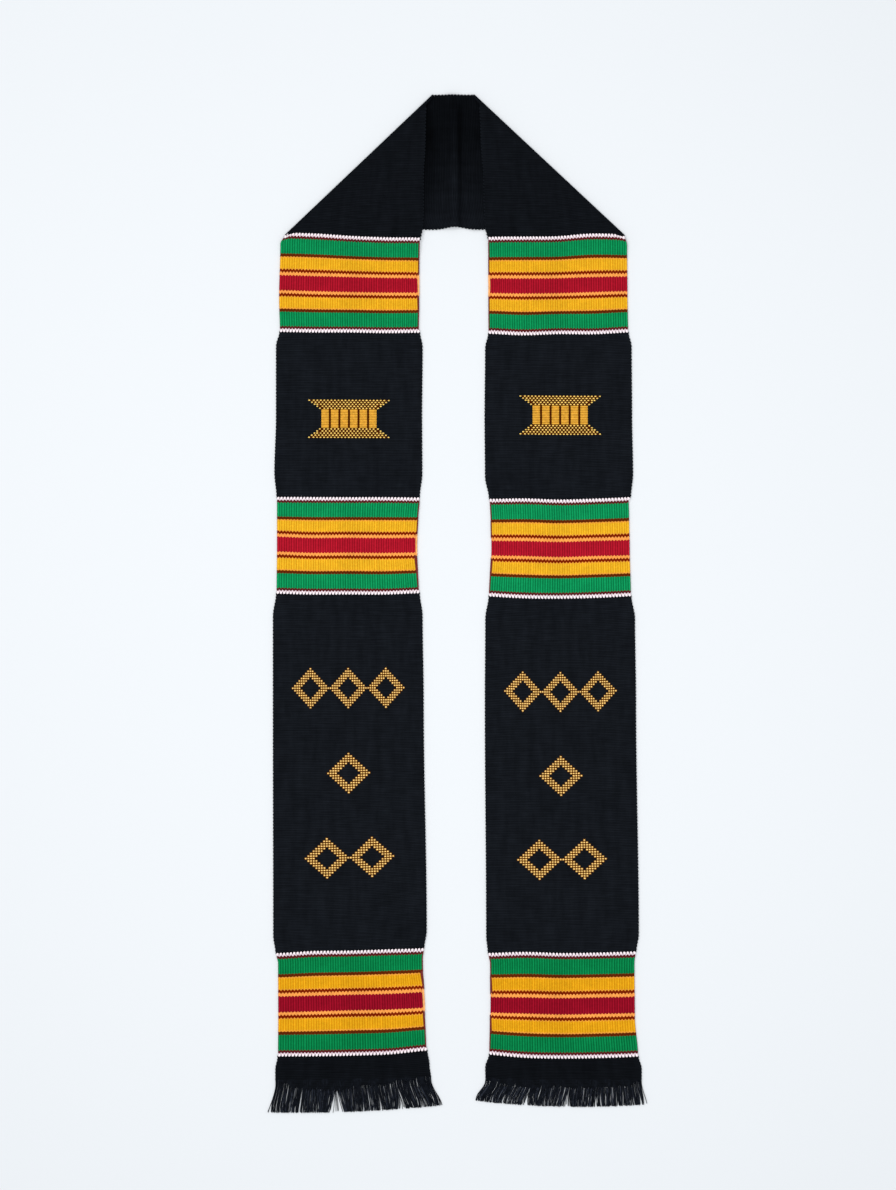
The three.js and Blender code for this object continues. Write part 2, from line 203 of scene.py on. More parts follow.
def leg_mm(leg, down, across, height=0.0):
    down, across, height = np.broadcast_arrays(
        np.asarray(down, float), np.asarray(across, float), np.asarray(height, float)
    )
    outer, inner = (column(EDGES, down, k) for k in EDGE_COLUMNS[leg])
    first, middle, last = (column(WANDERS, down, k) for k in WANDER_COLUMNS[leg])
    drop = (
        first * (1 - across) * (1 - 2 * across)
        + 4 * middle * across * (1 - across)
        + last * across * (2 * across - 1)
    )
    x = SIGN[leg] * (LEG_AXIS + CLOTH_WIDTH * (outer - (outer + inner) * across))
    y = -down - CLOTH_WIDTH * drop + nudge(leg, down, across)
    lift = (CLOTH_THICK + FOLD_GAP) * (1 - smoothstep(down, -NECK_HANG / 2, LANDING))
    return np.stack([x, y, lift + height], axis=-1)


def band_mm(leg, down, across, height=0.0):
    points = leg_mm(leg, down, across, height)
    near = np.clip(1 - np.asarray(across) * CLOTH_WIDTH / CORNER_REACH, 0, 1) ** 2
    points[..., 1] -= CORNER_DROP[leg] * near * (1 - smoothstep(down, 0, DROP_LENGTH))
    high = np.clip(1 - np.asarray(down) / PULL_LENGTH, 0, 1) ** 2
    points[..., 0] -= SIGN[leg] * CORNER_PULL[leg] * near * high
    return points


def placed(points):
    return (points + SHIFT) * MM


down_rows = np.linspace(STARTS["lower_panel"], STARTS["bottom_band"], 60)[:, None]
probe = placed(leg_mm("left", down_rows, np.linspace(0, 1, 9)[None, :])).reshape(-1, 3)
low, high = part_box("left_lower_panel")
print("left lower panel here, m:", probe.min(0).round(4), probe.max(0).round(4))
print("the same piece's solid, m:", np.round(low, 4), np.round(high, 4))

# %% [markdown]
# The photograph is taken from straight above, so the camera looks straight down. It stands a little over
# three metres up with a long lens, which keeps the strip's edges parallel, and its frame covers the same
# 0.79 by 1.05 metres of the table as the photograph does.

# %% Camera
FRAME_HEIGHT = 1.0472
CAMERA_HEIGHT = 3.2
FRAME_CENTRE = (-0.0083, 0.0077)
camera_data = bpy.data.cameras.new("camera")
camera_data.sensor_fit = "VERTICAL"
camera_data.sensor_height = 36
camera_data.lens = camera_data.sensor_height * CAMERA_HEIGHT / FRAME_HEIGHT
camera = bpy.data.objects.new("camera", camera_data)
camera.location = (*FRAME_CENTRE, CAMERA_HEIGHT)
bpy.context.scene.collection.objects.link(camera)
bpy.context.scene.camera = camera
print("lens, mm:", round(camera_data.lens, 1))

# %% [markdown]
# The light is a bright white studio with one large soft lamp up to the left, which leaves only a thin
# cool shadow along the right and lower edges. A weaker lamp straight above lifts the cloth a little. The
# Standard view is used because the picture is meant to show the cloth's own colours, without a film look.

# %% Light and view
scene = bpy.context.scene
scene.view_settings.view_transform = "Standard"
scene.view_settings.look = "None"

world = bpy.data.worlds.new("studio")
world.use_nodes = True
background = world.node_tree.nodes["Background"]
background.inputs["Color"].default_value = (0.93, 0.965, 1.0, 1)
background.inputs["Strength"].default_value = 0.63
scene.world = world


def softbox(name, place, aim, size, power, colour):
    lamp = bpy.data.lights.new(name, "AREA")
    lamp.shape = "DISK"
    lamp.size = size
    lamp.energy = power
    lamp.color = colour
    holder = bpy.data.objects.new(name, lamp)
    direction = np.array(aim, float) - np.array(place, float)
    holder.location = place
    holder.rotation_euler = (
        math.atan2(math.hypot(direction[0], direction[1]), -direction[2]),
        0,
        math.atan2(direction[0], -direction[1]) + math.pi,
    )
    scene.collection.objects.link(holder)
    return holder


softbox("key", (-2.3, 2.1, 3.2), (0, 0, 0), 1.6, 45, (1.0, 0.985, 0.965))
softbox("top", (0.036, -0.048, 1.7), (0.036, -0.048, 0), 1.2, 13.9, (1.0, 1.0, 1.0))

# %% [markdown]
# Short helpers for node trees. `node` adds a node with its settings and inputs, and `maths` adds one
# step of arithmetic. They work for the trees of materials and for Geometry Nodes alike, and keep each
# recipe below to the lines that say something about the cloth. `in_scene` puts a mesh in the scene.

# %% Helpers for node trees
def feed(tree, socket, value):
    if isinstance(value, bpy.types.NodeSocket):
        tree.links.new(value, socket)
    else:
        socket.default_value = value


def node(tree, kind, inputs=None, **settings):
    made = tree.nodes.new(kind)
    for key, value in settings.items():
        setattr(made, key, value)
    for key, value in (inputs or {}).items():
        feed(tree, made.inputs[key], value)
    return made


def maths(tree, operation, *values):
    return node(tree, "ShaderNodeMath", dict(enumerate(values)), operation=operation).outputs[0]


def product(tree, first, *others):
    for other in others:
        first = maths(tree, "MULTIPLY", first, other)
    return first


def blended(tree, factor, first, second, way="MIX"):
    mixer = node(tree, "ShaderNodeMix", {0: factor}, data_type="RGBA", blend_type=way)
    feed(tree, mixer.inputs[6], first)
    feed(tree, mixer.inputs[7], second)
    return mixer.outputs[2]


def toned(tree, colour, *tones):
    tone = product(tree, *tones)
    grade = node(tree, "ShaderNodeCombineColor", {0: tone, 1: tone, 2: tone}).outputs[0]
    return blended(tree, 1.0, colour, grade, "MULTIPLY")


def spread(tree, value, start, end, low, high):
    inputs = {"Value": value, "From Min": start, "From Max": end, "To Min": low, "To Max": high}
    return node(tree, "ShaderNodeMapRange", inputs, clamp=True).outputs[0]


def sampled_noise(tree, vector, scale, detail=2.0):
    inputs = {"Vector": vector, "Scale": scale, "Detail": detail}
    return node(tree, "ShaderNodeTexNoise", inputs).outputs["Fac"]


def stretched(tree, u, v, u_scale, v_scale, shift=0.0):
    parts = {"X": product(tree, u, u_scale), "Y": product(tree, v, v_scale), "Z": shift}
    return node(tree, "ShaderNodeCombineXYZ", parts).outputs[0]


def new_material(name, roughness, specular, sheen=0.0):
    material = bpy.data.materials.new(name)
    material.use_nodes = True
    shader = material.node_tree.nodes["Principled BSDF"]
    shader.inputs["Roughness"].default_value = roughness
    shader.inputs["Specular IOR Level"].default_value = specular
    shader.inputs["Sheen Weight"].default_value = sheen
    shader.inputs["Sheen Roughness"].default_value = 0.45
    return material, material.node_tree, shader


def cloth_coordinates(tree):
    where = node(tree, "ShaderNodeUVMap", uv_map="cloth").outputs[0]
    parts = node(tree, "ShaderNodeSeparateXYZ", {0: where})
    return parts.outputs[0], parts.outputs[1]


def point_tone(tree):
    return node(tree, "ShaderNodeAttribute", attribute_name="tone").outputs["Fac"]


def relief(tree, shader, height, distance, strength=1.0):
    inputs = {"Height": height, "Distance": distance, "Strength": strength}
    tree.links.new(node(tree, "ShaderNodeBump", inputs).outputs[0], shader.inputs["Normal"])


def in_scene(name, mesh, *materials):
    for material in materials:
        mesh.materials.append(material)
    made = bpy.data.objects.new(name, mesh)
    scene.collection.objects.link(made)
    return made


# %% [markdown]
# The floor is matt and nearly white, with a faint cool tint. A slow change of brightness keeps it from
# looking like a flat colour.

# %% Floor
floor_material, tree, shader = new_material("pale_floor", 0.9, 0.1)
floor_place = node(tree, "ShaderNodeTexCoord").outputs["Object"]
cloudy = sampled_noise(tree, floor_place, 1.5)
tree.links.new(
    blended(tree, cloudy, (0.775, 0.795, 0.815, 1), (0.79, 0.81, 0.83, 1)), shader.inputs["Base Color"]
)
FLOOR_LEVEL = -0.0004
floor_mesh = bpy.data.meshes.new("floor")
floor_corners = [(-6, -6), (6, -6), (6, 6), (-6, 6)]
floor_mesh.from_pydata([(x, y, FLOOR_LEVEL) for x, y in floor_corners], [], [(0, 1, 2, 3)])
floor = in_scene("floor", floor_mesh, floor_material)

# %% [markdown]
# The black ground is a plain weave of cotton with its weft a little thicker than its warp, so fine
# level lines show across it; the gaps between the threads are painted shade. The pattern runs on the
# cloth's own map, in metres across and along the strip. Its picks vary in tone as dyed yarn does, and it
# hardly shines. A `tone` kept on each point lets one recipe serve all of the ground: the shoulders and
# the imported hems are a darker black, and on the folded neck run the tone is painted shade and light.

# %% Black plain weave
def black_weave(name, base, warp=0.0009, weft=0.0015):
    material, tree, shader = new_material(name, 0.9, 0.015)
    u, v = cloth_coordinates(tree)
    turn_u = product(tree, u, math.tau / warp)
    half_v = product(tree, v, math.pi / weft)
    pick = maths(tree, "FLOOR", maths(tree, "DIVIDE", v, weft))
    crossing = maths(tree, "COSINE", maths(tree, "ADD", turn_u, product(tree, pick, math.pi)))
    roundness = maths(tree, "ABSOLUTE", maths(tree, "SINE", half_v))
    thread = product(tree, roundness, maths(tree, "MULTIPLY_ADD", crossing, 0.2, 0.8))
    streaks = sampled_noise(tree, stretched(tree, u, v, 60, 560), 1.0)
    slubs = sampled_noise(tree, stretched(tree, u, v, 150, 35, 4.0), 1.0)
    # the point's tone adds the painted shade and light of the neck run
    # the thread factor paints the gaps between the threads darker than their crowns, as painted shade;
    colour = toned(
        tree, base, spread(tree, streaks, 0.3, 0.7, 0.8, 1.19), spread(tree, slubs, 0.3, 0.7, 0.82, 1.18),
        spread(tree, thread, 0.0, 1.0, 0.5, 1.2), point_tone(tree),
    )
    tree.links.new(colour, shader.inputs["Base Color"])
    tree.links.new(spread(tree, streaks, 0.2, 0.8, 0.82, 0.97), shader.inputs["Roughness"])
    relief(tree, shader, thread, 0.0003, 0.8)
    return material


black_cloth = black_weave("black_cloth", (0.0077, 0.0093, 0.0125, 1))

# %% [markdown]
# The bands are weft-faced: the coloured weft is beaten down until it hides the warp, and each group of
# warp ends stands up as a rib. The ribs are real relief in the mesh. This recipe colours them: painted
# shade in the valleys between the ribs, every other rib a little lighter, thin lines of other yarn at a
# stripe's ends, and the fine level picks as a bump. A stripe's `tone` runs from 1, its plain colour, down
# to 0, that colour multiplied by the `deep` dye. The map's first number runs across in metres, the second
# along the stripe from its outer end, 0, to its inner end, 1.

# %% Ribbed weave
RIB_PITCH = 0.00214
PICK_PITCH = 0.00045
LINE_EDGE = 0.006


def rib_weave(name, base, valley_shade, lines=(), deep=(1, 1, 1, 1), length=0.016, contrast=0.03):
    material, tree, shader = new_material(name, 0.88, 0.012)
    u, v = cloth_coordinates(tree)
    wave = maths(tree, "SINE", product(tree, u, math.pi / RIB_PITCH))
    crest = maths(tree, "ABSOLUTE", wave)
    # the valley colour is painted shade between the ribs
    colour = blended(tree, spread(tree, crest, 0.3, 0.95, 0.0, 1.0), valley_shade, base)
    dye = blended(tree, point_tone(tree), deep, (1, 1, 1, 1))
    colour = blended(tree, 1.0, colour, dye, "MULTIPLY")
    for start, end, thread in lines:
        rise = spread(tree, v, start - LINE_EDGE, start + LINE_EDGE, 0.0, 1.0) if start > 0 else 1.0
        fall = spread(tree, v, end - LINE_EDGE, end + LINE_EDGE, 1.0, 0.0) if end < 1 else 1.0
        colour = blended(tree, product(tree, rise, fall), colour, thread)
    own_rib = sampled_noise(tree, stretched(tree, u, v, 240, 1.4), 1.0, 1.0)
    picks = sampled_noise(tree, stretched(tree, u, v, 330, 9, 7.0), 1.0, 1.0)
    fading = sampled_noise(tree, stretched(tree, u, v, 26, 0.8, 3.0), 1.0, 2.0)
    # the first factor darkens the rib valleys further, as painted shade
    colour = toned(
        tree, colour, spread(tree, crest, 0.0, 0.8, 0.9, 1.02),
        spread(tree, wave, -0.7, 0.7, 1 - contrast, 1 + contrast),
        spread(tree, own_rib, 0.3, 0.7, 0.95, 1.05), spread(tree, picks, 0.3, 0.7, 0.92, 1.08),
        spread(tree, fading, 0.3, 0.7, 0.9, 1.1),
    )
    tree.links.new(colour, shader.inputs["Base Color"])
    tree.links.new(spread(tree, picks, 0.2, 0.8, 0.74, 0.9), shader.inputs["Roughness"])
    along = product(tree, v, length * math.pi / PICK_PITCH)
    lean = product(tree, u, 0.8 * math.pi / RIB_PITCH)
    pick = maths(tree, "ABSOLUTE", maths(tree, "SINE", maths(tree, "ADD", along, lean)))
    relief(tree, shader, pick, 0.00012, 0.7)
    return material


MAROON = (0.1, 0.01, 0.012, 1)
BROWN = (0.12, 0.018, 0.002, 1)
DARK_BROWN = (0.2, 0.012, 0.0003, 1)
PALE_ORANGE = (0.94, 0.35, 0.075, 1)
WARM_YELLOW = (0.84, 0.34, 0.04, 1)
GROUND_BLACK = (0.01, 0.008, 0.01, 1)
# each weave's second colour is the painted shade in its rib valleys
white_rib = rib_weave(
    "white_rib", (0.84, 0.71, 0.75, 1), (0.68, 0.52, 0.56, 1), [(-1, 0.42, GROUND_BLACK)],
    deep=(0.95, 0.92, 0.95, 1), length=0.003
)
green_rib = rib_weave(
    "green_rib", (0.0055, 0.308, 0.101, 1), (0.002, 0.165, 0.05, 1),
    [(-1, 0.135, MAROON), (0.92, 2, BROWN)], deep=(0.6, 0.78, 0.7, 1), contrast=0.05
)
yellow_rib = rib_weave(
    "yellow_rib", (0.845, 0.468, 0.022, 1), (0.76, 0.34, 0.008, 1),
    [(-1, 0.16, WARM_YELLOW), (0.78, 2, WARM_YELLOW), (-1, 0.09, BROWN), (0.83, 2, DARK_BROWN)],
    deep=(0.94, 0.84, 0.5, 1)
)
red_rib = rib_weave(
    "red_rib", (0.455, 0.0095, 0.025, 1), (0.29, 0.005, 0.014, 1),
    [(-1, 0.145, PALE_ORANGE), (0.865, 2, PALE_ORANGE)], deep=(0.7, 0.55, 0.78, 1), contrast=0.05
)

# %% [markdown]
# Yarn seen by itself, such as a bead of the white edging, a selvedge loop or a gold stitch, is small. A
# simple recipe is enough: a tone that changes from stitch to stitch, and a fine twist as a bump. It
# reads Object coordinates, because a finished piece stands at the origin with its place in its mesh.

# %% Loose yarn and stitches
def yarn(name, base, roughness=0.75, specular=0.15, low=0.82, high=1.15, sheen=0.08):
    material, tree, shader = new_material(name, roughness, specular, sheen)
    place = node(tree, "ShaderNodeTexCoord").outputs["Object"]
    patches = sampled_noise(tree, place, 420.0, 1.0)
    twist = sampled_noise(tree, place, 2600.0, 2.0)
    parts = spread(tree, patches, 0.3, 0.7, low, high), spread(tree, twist, 0.3, 0.7, 0.9, 1.08)
    tree.links.new(toned(tree, base, *parts), shader.inputs["Base Color"])
    rough = spread(tree, twist, 0.2, 0.8, roughness - 0.1, roughness + 0.1)
    tree.links.new(rough, shader.inputs["Roughness"])
    relief(tree, shader, twist, 0.00008, 0.5)
    return material


white_yarn = yarn("white_yarn", (0.97, 0.85, 0.88, 1), low=0.95, high=1.06)
black_yarn = yarn("black_yarn", (0.007, 0.0085, 0.0115, 1), 0.88, 0.02, sheen=0.0)
fringe_yarn = yarn("fringe_yarn", (0.0065, 0.008, 0.0115, 1), 0.85, 0.02, 0.6, 1.4, 0.0)
# worn pale yarn of the fringe, whose lighter colour is also a painted glint on the strands
worn_glint_yarn = yarn("fringe_yarn_worn_glint", (0.022, 0.026, 0.037, 1), 0.8, 0.03, 0.5, 1.6, 0.0)
maroon_yarn = yarn("maroon_yarn", (0.16, 0.02, 0.018, 1))
orange_yarn = yarn("orange_yarn", (0.9, 0.42, 0.14, 1))
pale_gold_yarn = yarn("pale_gold_yarn", (1.0, 0.64, 0.2, 1), specular=0.05, sheen=0.0)
emblem_yarn = yarn("emblem_yarn", (1.0, 0.67, 0.16, 1), specular=0.05, sheen=0.0)
gold_yarn = yarn("gold_yarn", (0.8, 0.415, 0.046, 1), specular=0.05, sheen=0.0)
figure_ground = yarn("figure_ground", (0.1, 0.028, 0.0004, 1), specular=0.01, sheen=0.0)
emblem_ground = yarn("emblem_ground", (0.06, 0.01, 0.0, 1), specular=0.01, sheen=0.0)
print("materials:", len(bpy.data.materials))

# %% [markdown]
# Every cloth piece is a closed shell: an upper and a lower face over the same grid of points, joined all
# round. One helper makes it from two arrays. It turns the faces outwards by the sign of the volume, and
# puts the map of the cloth on it, so that the weave follows the strip wherever it goes.

# %% A closed shell from two faces
def shell(name, low, high, where, material, tone=1.0):
    rows, columns = low.shape[:2]
    numbers = np.arange(rows * columns).reshape(rows, columns)
    top = np.stack([numbers[:-1, :-1], numbers[:-1, 1:], numbers[1:, 1:], numbers[1:, :-1]], -1)
    top = top.reshape(-1, 4)
    under = top[:, ::-1] + rows * columns
    rim = np.concatenate([numbers[0, :-1], numbers[:-1, -1], numbers[-1, :0:-1], numbers[:0:-1, 0]])
    around = np.roll(rim, -1)
    side = np.stack([around, rim, rim + rows * columns, around + rows * columns], -1)
    quads = np.concatenate([top, under, side])
    points = np.concatenate([high.reshape(-1, 3), low.reshape(-1, 3)])
    a, b, c, d = (points[quads[:, k]] for k in range(4))
    volume = np.einsum("ij,ij->", a, np.cross(b, c)) + np.einsum("ij,ij->", a, np.cross(c, d))
    if volume < 0:
        quads = quads[:, ::-1]
    mesh = bpy.data.meshes.new(name)
    mesh.from_pydata(points.tolist(), [], quads.tolist())
    layer = mesh.uv_layers.new(name="cloth")
    maps = np.concatenate([where.reshape(-1, 2)] * 2)
    layer.data.foreach_set("uv", maps[quads.ravel()].ravel())
    tones = np.broadcast_to(tone, (rows, columns)).ravel()
    mesh.attributes.new("tone", "FLOAT", "POINT").data.foreach_set("value", np.concatenate([tones, tones]))
    mesh.shade_smooth()
    mesh.set_sharp_from_angle(angle=math.radians(60))
    return in_scene(name, mesh, material)


GROUND_ROUND = 0.7
RIB_ROUND = 0.9


def edge_round(across, width, reach):
    inside = np.clip(np.minimum(across, 1 - across) * width / reach, 0, 1)
    return np.maximum(0.3, np.sqrt(1 - (1 - inside) ** 2))


def across_lines(count):
    ends = np.array([0.25, 0.7]) / CLOTH_WIDTH
    middle = np.linspace(0, 1, count + 1)
    return np.unique(np.concatenate([middle, ends, 1 - ends]))


# %% [markdown]
# A panel of the black ground lies flat with rounded selvedges. It runs on a little under the bands at
# both of its ends, so no slit shows where their scalloped edges meet it.

# %% Black panels
def leg_cloth(name, leg, start, end, thick, material, step=4.0, tone=1.0, ragged=None):
    lines = across_lines(30 if ragged is None else 120)
    rows = np.linspace(start, end, max(2, round((end - start) / step)) + 1)
    down, across = np.meshgrid(rows, lines, indexing="ij")
    if ragged is not None:
        down = down + ragged(lines)[None, :] * smoothstep(down, start, end)
    part = edge_round(across, CLOTH_WIDTH, GROUND_ROUND)
    low = placed(leg_mm(leg, down, across, thick / 2 * (1 - part)))
    high = placed(leg_mm(leg, down, across, thick / 2 * (1 + part)))
    where = np.stack([across * CLOTH_WIDTH, down], -1) * MM
    return shell(name, low, high, where, material, tone)


UNDERLAP = 0.9
panels = {}
for leg in SIGN:
    for section in ("upper_panel", "lower_panel"):
        start, end = span(section)
        panels[leg, section] = leg_cloth(
            f"{leg}_{section}_cloth", leg, start - UNDERLAP, end + UNDERLAP, CLOTH_THICK, black_cloth
        )
print("panels:", len(panels))

# %% [markdown]
# The neck run and both shoulders are one folded piece. Each shoulder turns over along a diagonal: the
# cloth goes round a tight half circle there and comes back underneath as the neck run, which lies face
# down with soft ripples. The rows of the grid below follow the strip from one leg to the other, and the
# same lines as in the solid are used, with many more steps.

# %% Lines of the yoke
UP = np.array([0.0, 0.0, 1.0])
FOLD_RADIUS = (CLOTH_THICK + FOLD_GAP) / 2
NECK_TOP = NECK_WIDTH + NECK_HANG + 0.3
BOWS = {
    "left": np.array([[0, 0], [0.07, 0.046], [0.45, 0.024], [0.93, -0.008], [1, 0]]),
    "right": np.array([[0, 0], [0.07, 0.037], [0.45, 0.018], [0.93, -0.01], [1, 0]]),
}
RIPPLES = [(-0.02, 0.17, 1.0), (0.5, 0.13, 0.4)]


def fold_ends(leg):
    inset = (FOLD_RADIUS + CLOTH_THICK / 2) * math.sqrt(0.5)
    corner = band_mm(leg, -PIECE_GAP / 2, 0.0)
    low = np.array([corner[0], corner[1] + CORNER_RISE, 0.0])
    high = np.array([SIGN[leg] * (NECK_SPAN / 2 - inset), NECK_TOP - inset, 0.0])
    along = (high - low) / np.linalg.norm(high - low)
    return low, high, np.array([-along[1], along[0], 0.0]) * -SIGN[leg]


FOLD_ENDS = {leg: fold_ends(leg) for leg in SIGN}


def fold_line(leg, turn, across):
    low, high, out = FOLD_ENDS[leg]
    normal = out * math.cos(turn) + UP * math.sin(turn)
    points = low + (high - low) * across[:, None] + normal * FOLD_RADIUS
    points[:, 2] += CLOTH_THICK / 2 + FOLD_RADIUS
    return points, np.broadcast_to(normal, points.shape)


def shoulder_line(leg, share, across):
    fold = fold_line(leg, math.pi / 2, across)[0]
    end = band_mm(leg, UNDERLAP, across, CLOTH_THICK / 2 - 0.1)
    points = fold + (end - fold) * share
    points[:, 0] += SIGN[leg] * column(BOWS[leg], share, 1) * CLOTH_WIDTH * across**2
    away = np.linalg.norm(points - fold, axis=1)
    points[:, 2] += SHOULDER_PUFF * np.exp(-((away - 5) / 5) ** 2) * smoothstep(away, 0, 3)
    return points, np.broadcast_to(UP, points.shape)


def neck_line(turn, across):
    low, high, _ = FOLD_ENDS["left" if turn < 0 else "right"]
    fan = abs(turn) * (FAN_START + (1 - FAN_START) * turn * turn)
    lowest = np.array([low[0] * fan, NECK_HANG + (low[1] - NECK_HANG) * fan, 0.0])
    highest = np.array([high[0] * abs(turn), high[1] + 0.2 * (1 - turn**4), 0.0])
    points = lowest + (highest - lowest) * across[:, None]
    ripple = sum(
        RIPPLE_HEIGHT * height * np.exp(-(((points[:, 0] / NECK_SPAN - at) / wide) ** 2))
        for at, wide, height in RIPPLES
    )
    arch = NECK_ARCH * np.exp(-(((points[:, 0] - ARCH_PLACE) / ARCH_WIDTH) ** 2))
    arch -= NECK_SAG * np.clip(1 - np.abs(points[:, 0]) / SAG_REACH, 0, 1)
    points[:, 1] += (arch + NECK_RISE * (1 - fan)) * (1 - across)
    points[:, 2] = CLOTH_THICK / 2 + ripple
    return points, np.broadcast_to(-UP, points.shape)


SHOULDER_ROWS = 32
FOLD_ROWS = 13
SHOULDER_TONE = 0.72
LEAST_TONE = 0.2
lines = across_lines(40)
turns = np.linspace(math.pi / 2, -math.pi / 2, FOLD_ROWS)
shares = np.linspace(0, 1, SHOULDER_ROWS + 1)[1:]
yoke_rows = [shoulder_line("left", share, lines) for share in np.linspace(1, 0, SHOULDER_ROWS + 1)[:-1]]
yoke_rows += [fold_line("left", turn, lines) for turn in turns]
yoke_rows += [neck_line(turn, lines) for turn in np.linspace(-1, 1, 81)[1:-1]]
yoke_rows += [fold_line("right", turn, lines) for turn in turns[::-1]]
yoke_rows += [shoulder_line("right", share, lines) for share in shares]
middle = np.array([row[0] for row in yoke_rows])
neck_rows = slice(SHOULDER_ROWS + FOLD_ROWS, len(yoke_rows) - SHOULDER_ROWS - FOLD_ROWS)
# The yoke's tone: shoulders and folds are a darker black. On the neck run the tone is painted shade and
# highlight on the ripple's ridge, painted shade in its valley, and a painted shadow beside the left fold,
# light: painted shade growing towards its upper edge and lighter again right at that edge, a painted
# where the shoulder layer shades it.
tone = np.full(middle.shape[:2], SHOULDER_TONE)
x = middle[neck_rows, :, 0]
ridge_highlight = np.exp(-(((x - 1.0) / 3.0) ** 2))
valley_shade = np.exp(-(((x - 5.6) / 1.9) ** 2)) * (1 - smoothstep(lines, 0.8, 1.0))
fold_shadow = 1 - smoothstep(x + 26, 0, 4 + 15 * np.sin(math.pi * lines))
ridge_highlight = ridge_highlight * (1 - smoothstep(lines, 0.4, 0.95))
tone[neck_rows] = 0.78 - 0.42 * smoothstep(lines, 0.05, 0.75) + 0.16 * smoothstep(lines, 0.93, 1)
tone[neck_rows] += 0.2 * ridge_highlight - 0.26 * valley_shade - 0.22 * fold_shadow
tone = np.maximum(tone, LEAST_TONE)
normal = np.array([row[1] for row in yoke_rows])
print("rows of the yoke:", len(yoke_rows))

# %% [markdown]
# The map of the yoke is measured along the warp, from each leg's end towards the middle of the neck. So
# the weft lies level on the shoulders, turns through the folds and stands upright in the neck run, as it
# does on a real folded strip.

# %% Yoke
steps = np.linalg.norm(np.diff(middle, axis=0), axis=2)
from_left = np.concatenate([np.zeros((1, len(lines))), np.cumsum(steps, axis=0)])
from_right = from_left[-1] - from_left
along_warp = np.minimum(from_left, from_right)
half = CLOTH_THICK / 2 * edge_round(lines, CLOTH_WIDTH, GROUND_ROUND)[None, :, None]
where = np.stack([np.broadcast_to(lines * CLOTH_WIDTH, along_warp.shape), -along_warp], -1) * MM
low, high = placed(middle - normal * half), placed(middle + normal * half)
yoke = shell("yoke_cloth", low, high, where, black_cloth, tone)

# %% [markdown]
# Each band is seven stripes of one ribbed cloth. Rib by rib the weft of a stripe goes over or under, so a
# stripe's end is a row of small scallops: here the rows of the mesh themselves swing up and down in small
# teeth, and every thin line follows them for nothing. Two neighbours swing alike and lap by a hair, so no
# slit opens between them. The upper and lower faces both carry the ribs, since the cloth is the same on
# its back. At the inner selvedge each colour is pulled in by its own amount, and the bands' dyes differ a
# little, which their `tone` says.

# %% Ribbed bands
# name, share of the band's length, weave, and whether the weave's map is turned round
STRIPES = [
    ("white_above", 0.034, white_rib, False),
    ("green_above", 0.186, green_rib, False),
    ("yellow_above", 0.166, yellow_rib, False),
    ("red_core", 0.214, red_rib, False),
    ("yellow_below", 0.173, yellow_rib, True),
    ("green_below", 0.189, green_rib, True),
    ("white_below", 0.038, white_rib, True),
]
RIBS = 58
TEETH = 44
SCALLOPS = [1.5, 1.2, 0.6, 1.5, -1.5, -0.6, -1.2, -1.5]
RIB_DEPTH = 0.3
STRIPE_LAP = 0.06
# how far each colour is drawn in at the inner selvedge, mm: at its start, at its end, and between them
INNER_INSETS = {
    ("left", "top_band"): [(0.5, 0.8, 0), (0.9, 1.0, 0), (1.9, 1.1, 0), (1.9, 0.9, 0), (0.7, 0.7, 0)],
    ("left", "middle_band"): [(0.5, 0.8, 0), (0.8, 1.0, 0), (1.7, 1.0, 0), (2.6, 1.5, 0), (1.3, 0.4, 0)],
    ("left", "bottom_band"): [(0.4, 0.5, 0), (2.3, 0.6, 0), (1.8, 1.3, 0), (1.7, 1.0, 0), (0.6, 0.5, 0)],
    ("right", "top_band"): [(0.7, 1.0, 0), (0.8, 0.9, 0), (1.1, 1.1, 0.7), (0.9, 0.9, 0), (0.7, 0.5, 0)],
    ("right", "middle_band"): [(0.5, 1.0, 0), (0.9, 0.9, 0), (0.5, 0.4, 0), (1.8, 1.2, 0), (0.8, 0.4, 0)],
    ("right", "bottom_band"): [(0.5, 0.8, 0), (0.9, 2.1, 0), (0.5, 0.4, 0), (1.0, 1.6, 0), (0.7, 0.4, 0)],
}
for edges in INNER_INSETS.values():
    edges.insert(0, (0.0, 0.0, 0))
    edges.append((0.0, 0.0, 0))
# how far the whole band is drawn in there, mm, at its start and at its end
INNER_MARGIN = {
    ("left", "top_band"): (0.4, 1.3),
    ("left", "middle_band"): (0.1, 1.2),
    ("left", "bottom_band"): (0.5, 1.2),
    ("right", "top_band"): (0.3, 0.5),
    ("right", "middle_band"): (0.9, 0.5),
    ("right", "bottom_band"): (0.5, 0.5),
}
OUTER_INSET = 0.4
BAND_TONES = {"top_band": 0.7, "middle_band": 1.0, "bottom_band": 0.0}


def inner_edge(insets, share):
    return insets[0] + (insets[1] - insets[0]) * share + insets[2] * np.sin(math.pi * share)


def margins(leg, band, stripe, start, end):
    if "white" in stripe:
        return 0.3, 0.3
    first, last = INNER_MARGIN[leg, band]
    shares = (np.array([start, end]) - STARTS[band]) / LENGTHS[band]
    return first + (last - first) * shares


def band_stripes(leg, band):
    start = STARTS[band]
    for (stripe, share, material, turned), insets in zip(STRIPES, INNER_INSETS[leg, band]):
        end = start + share * LENGTHS[band]
        yield stripe, material, turned, start, end, insets, margins(leg, band, stripe, start, end)
        start = end


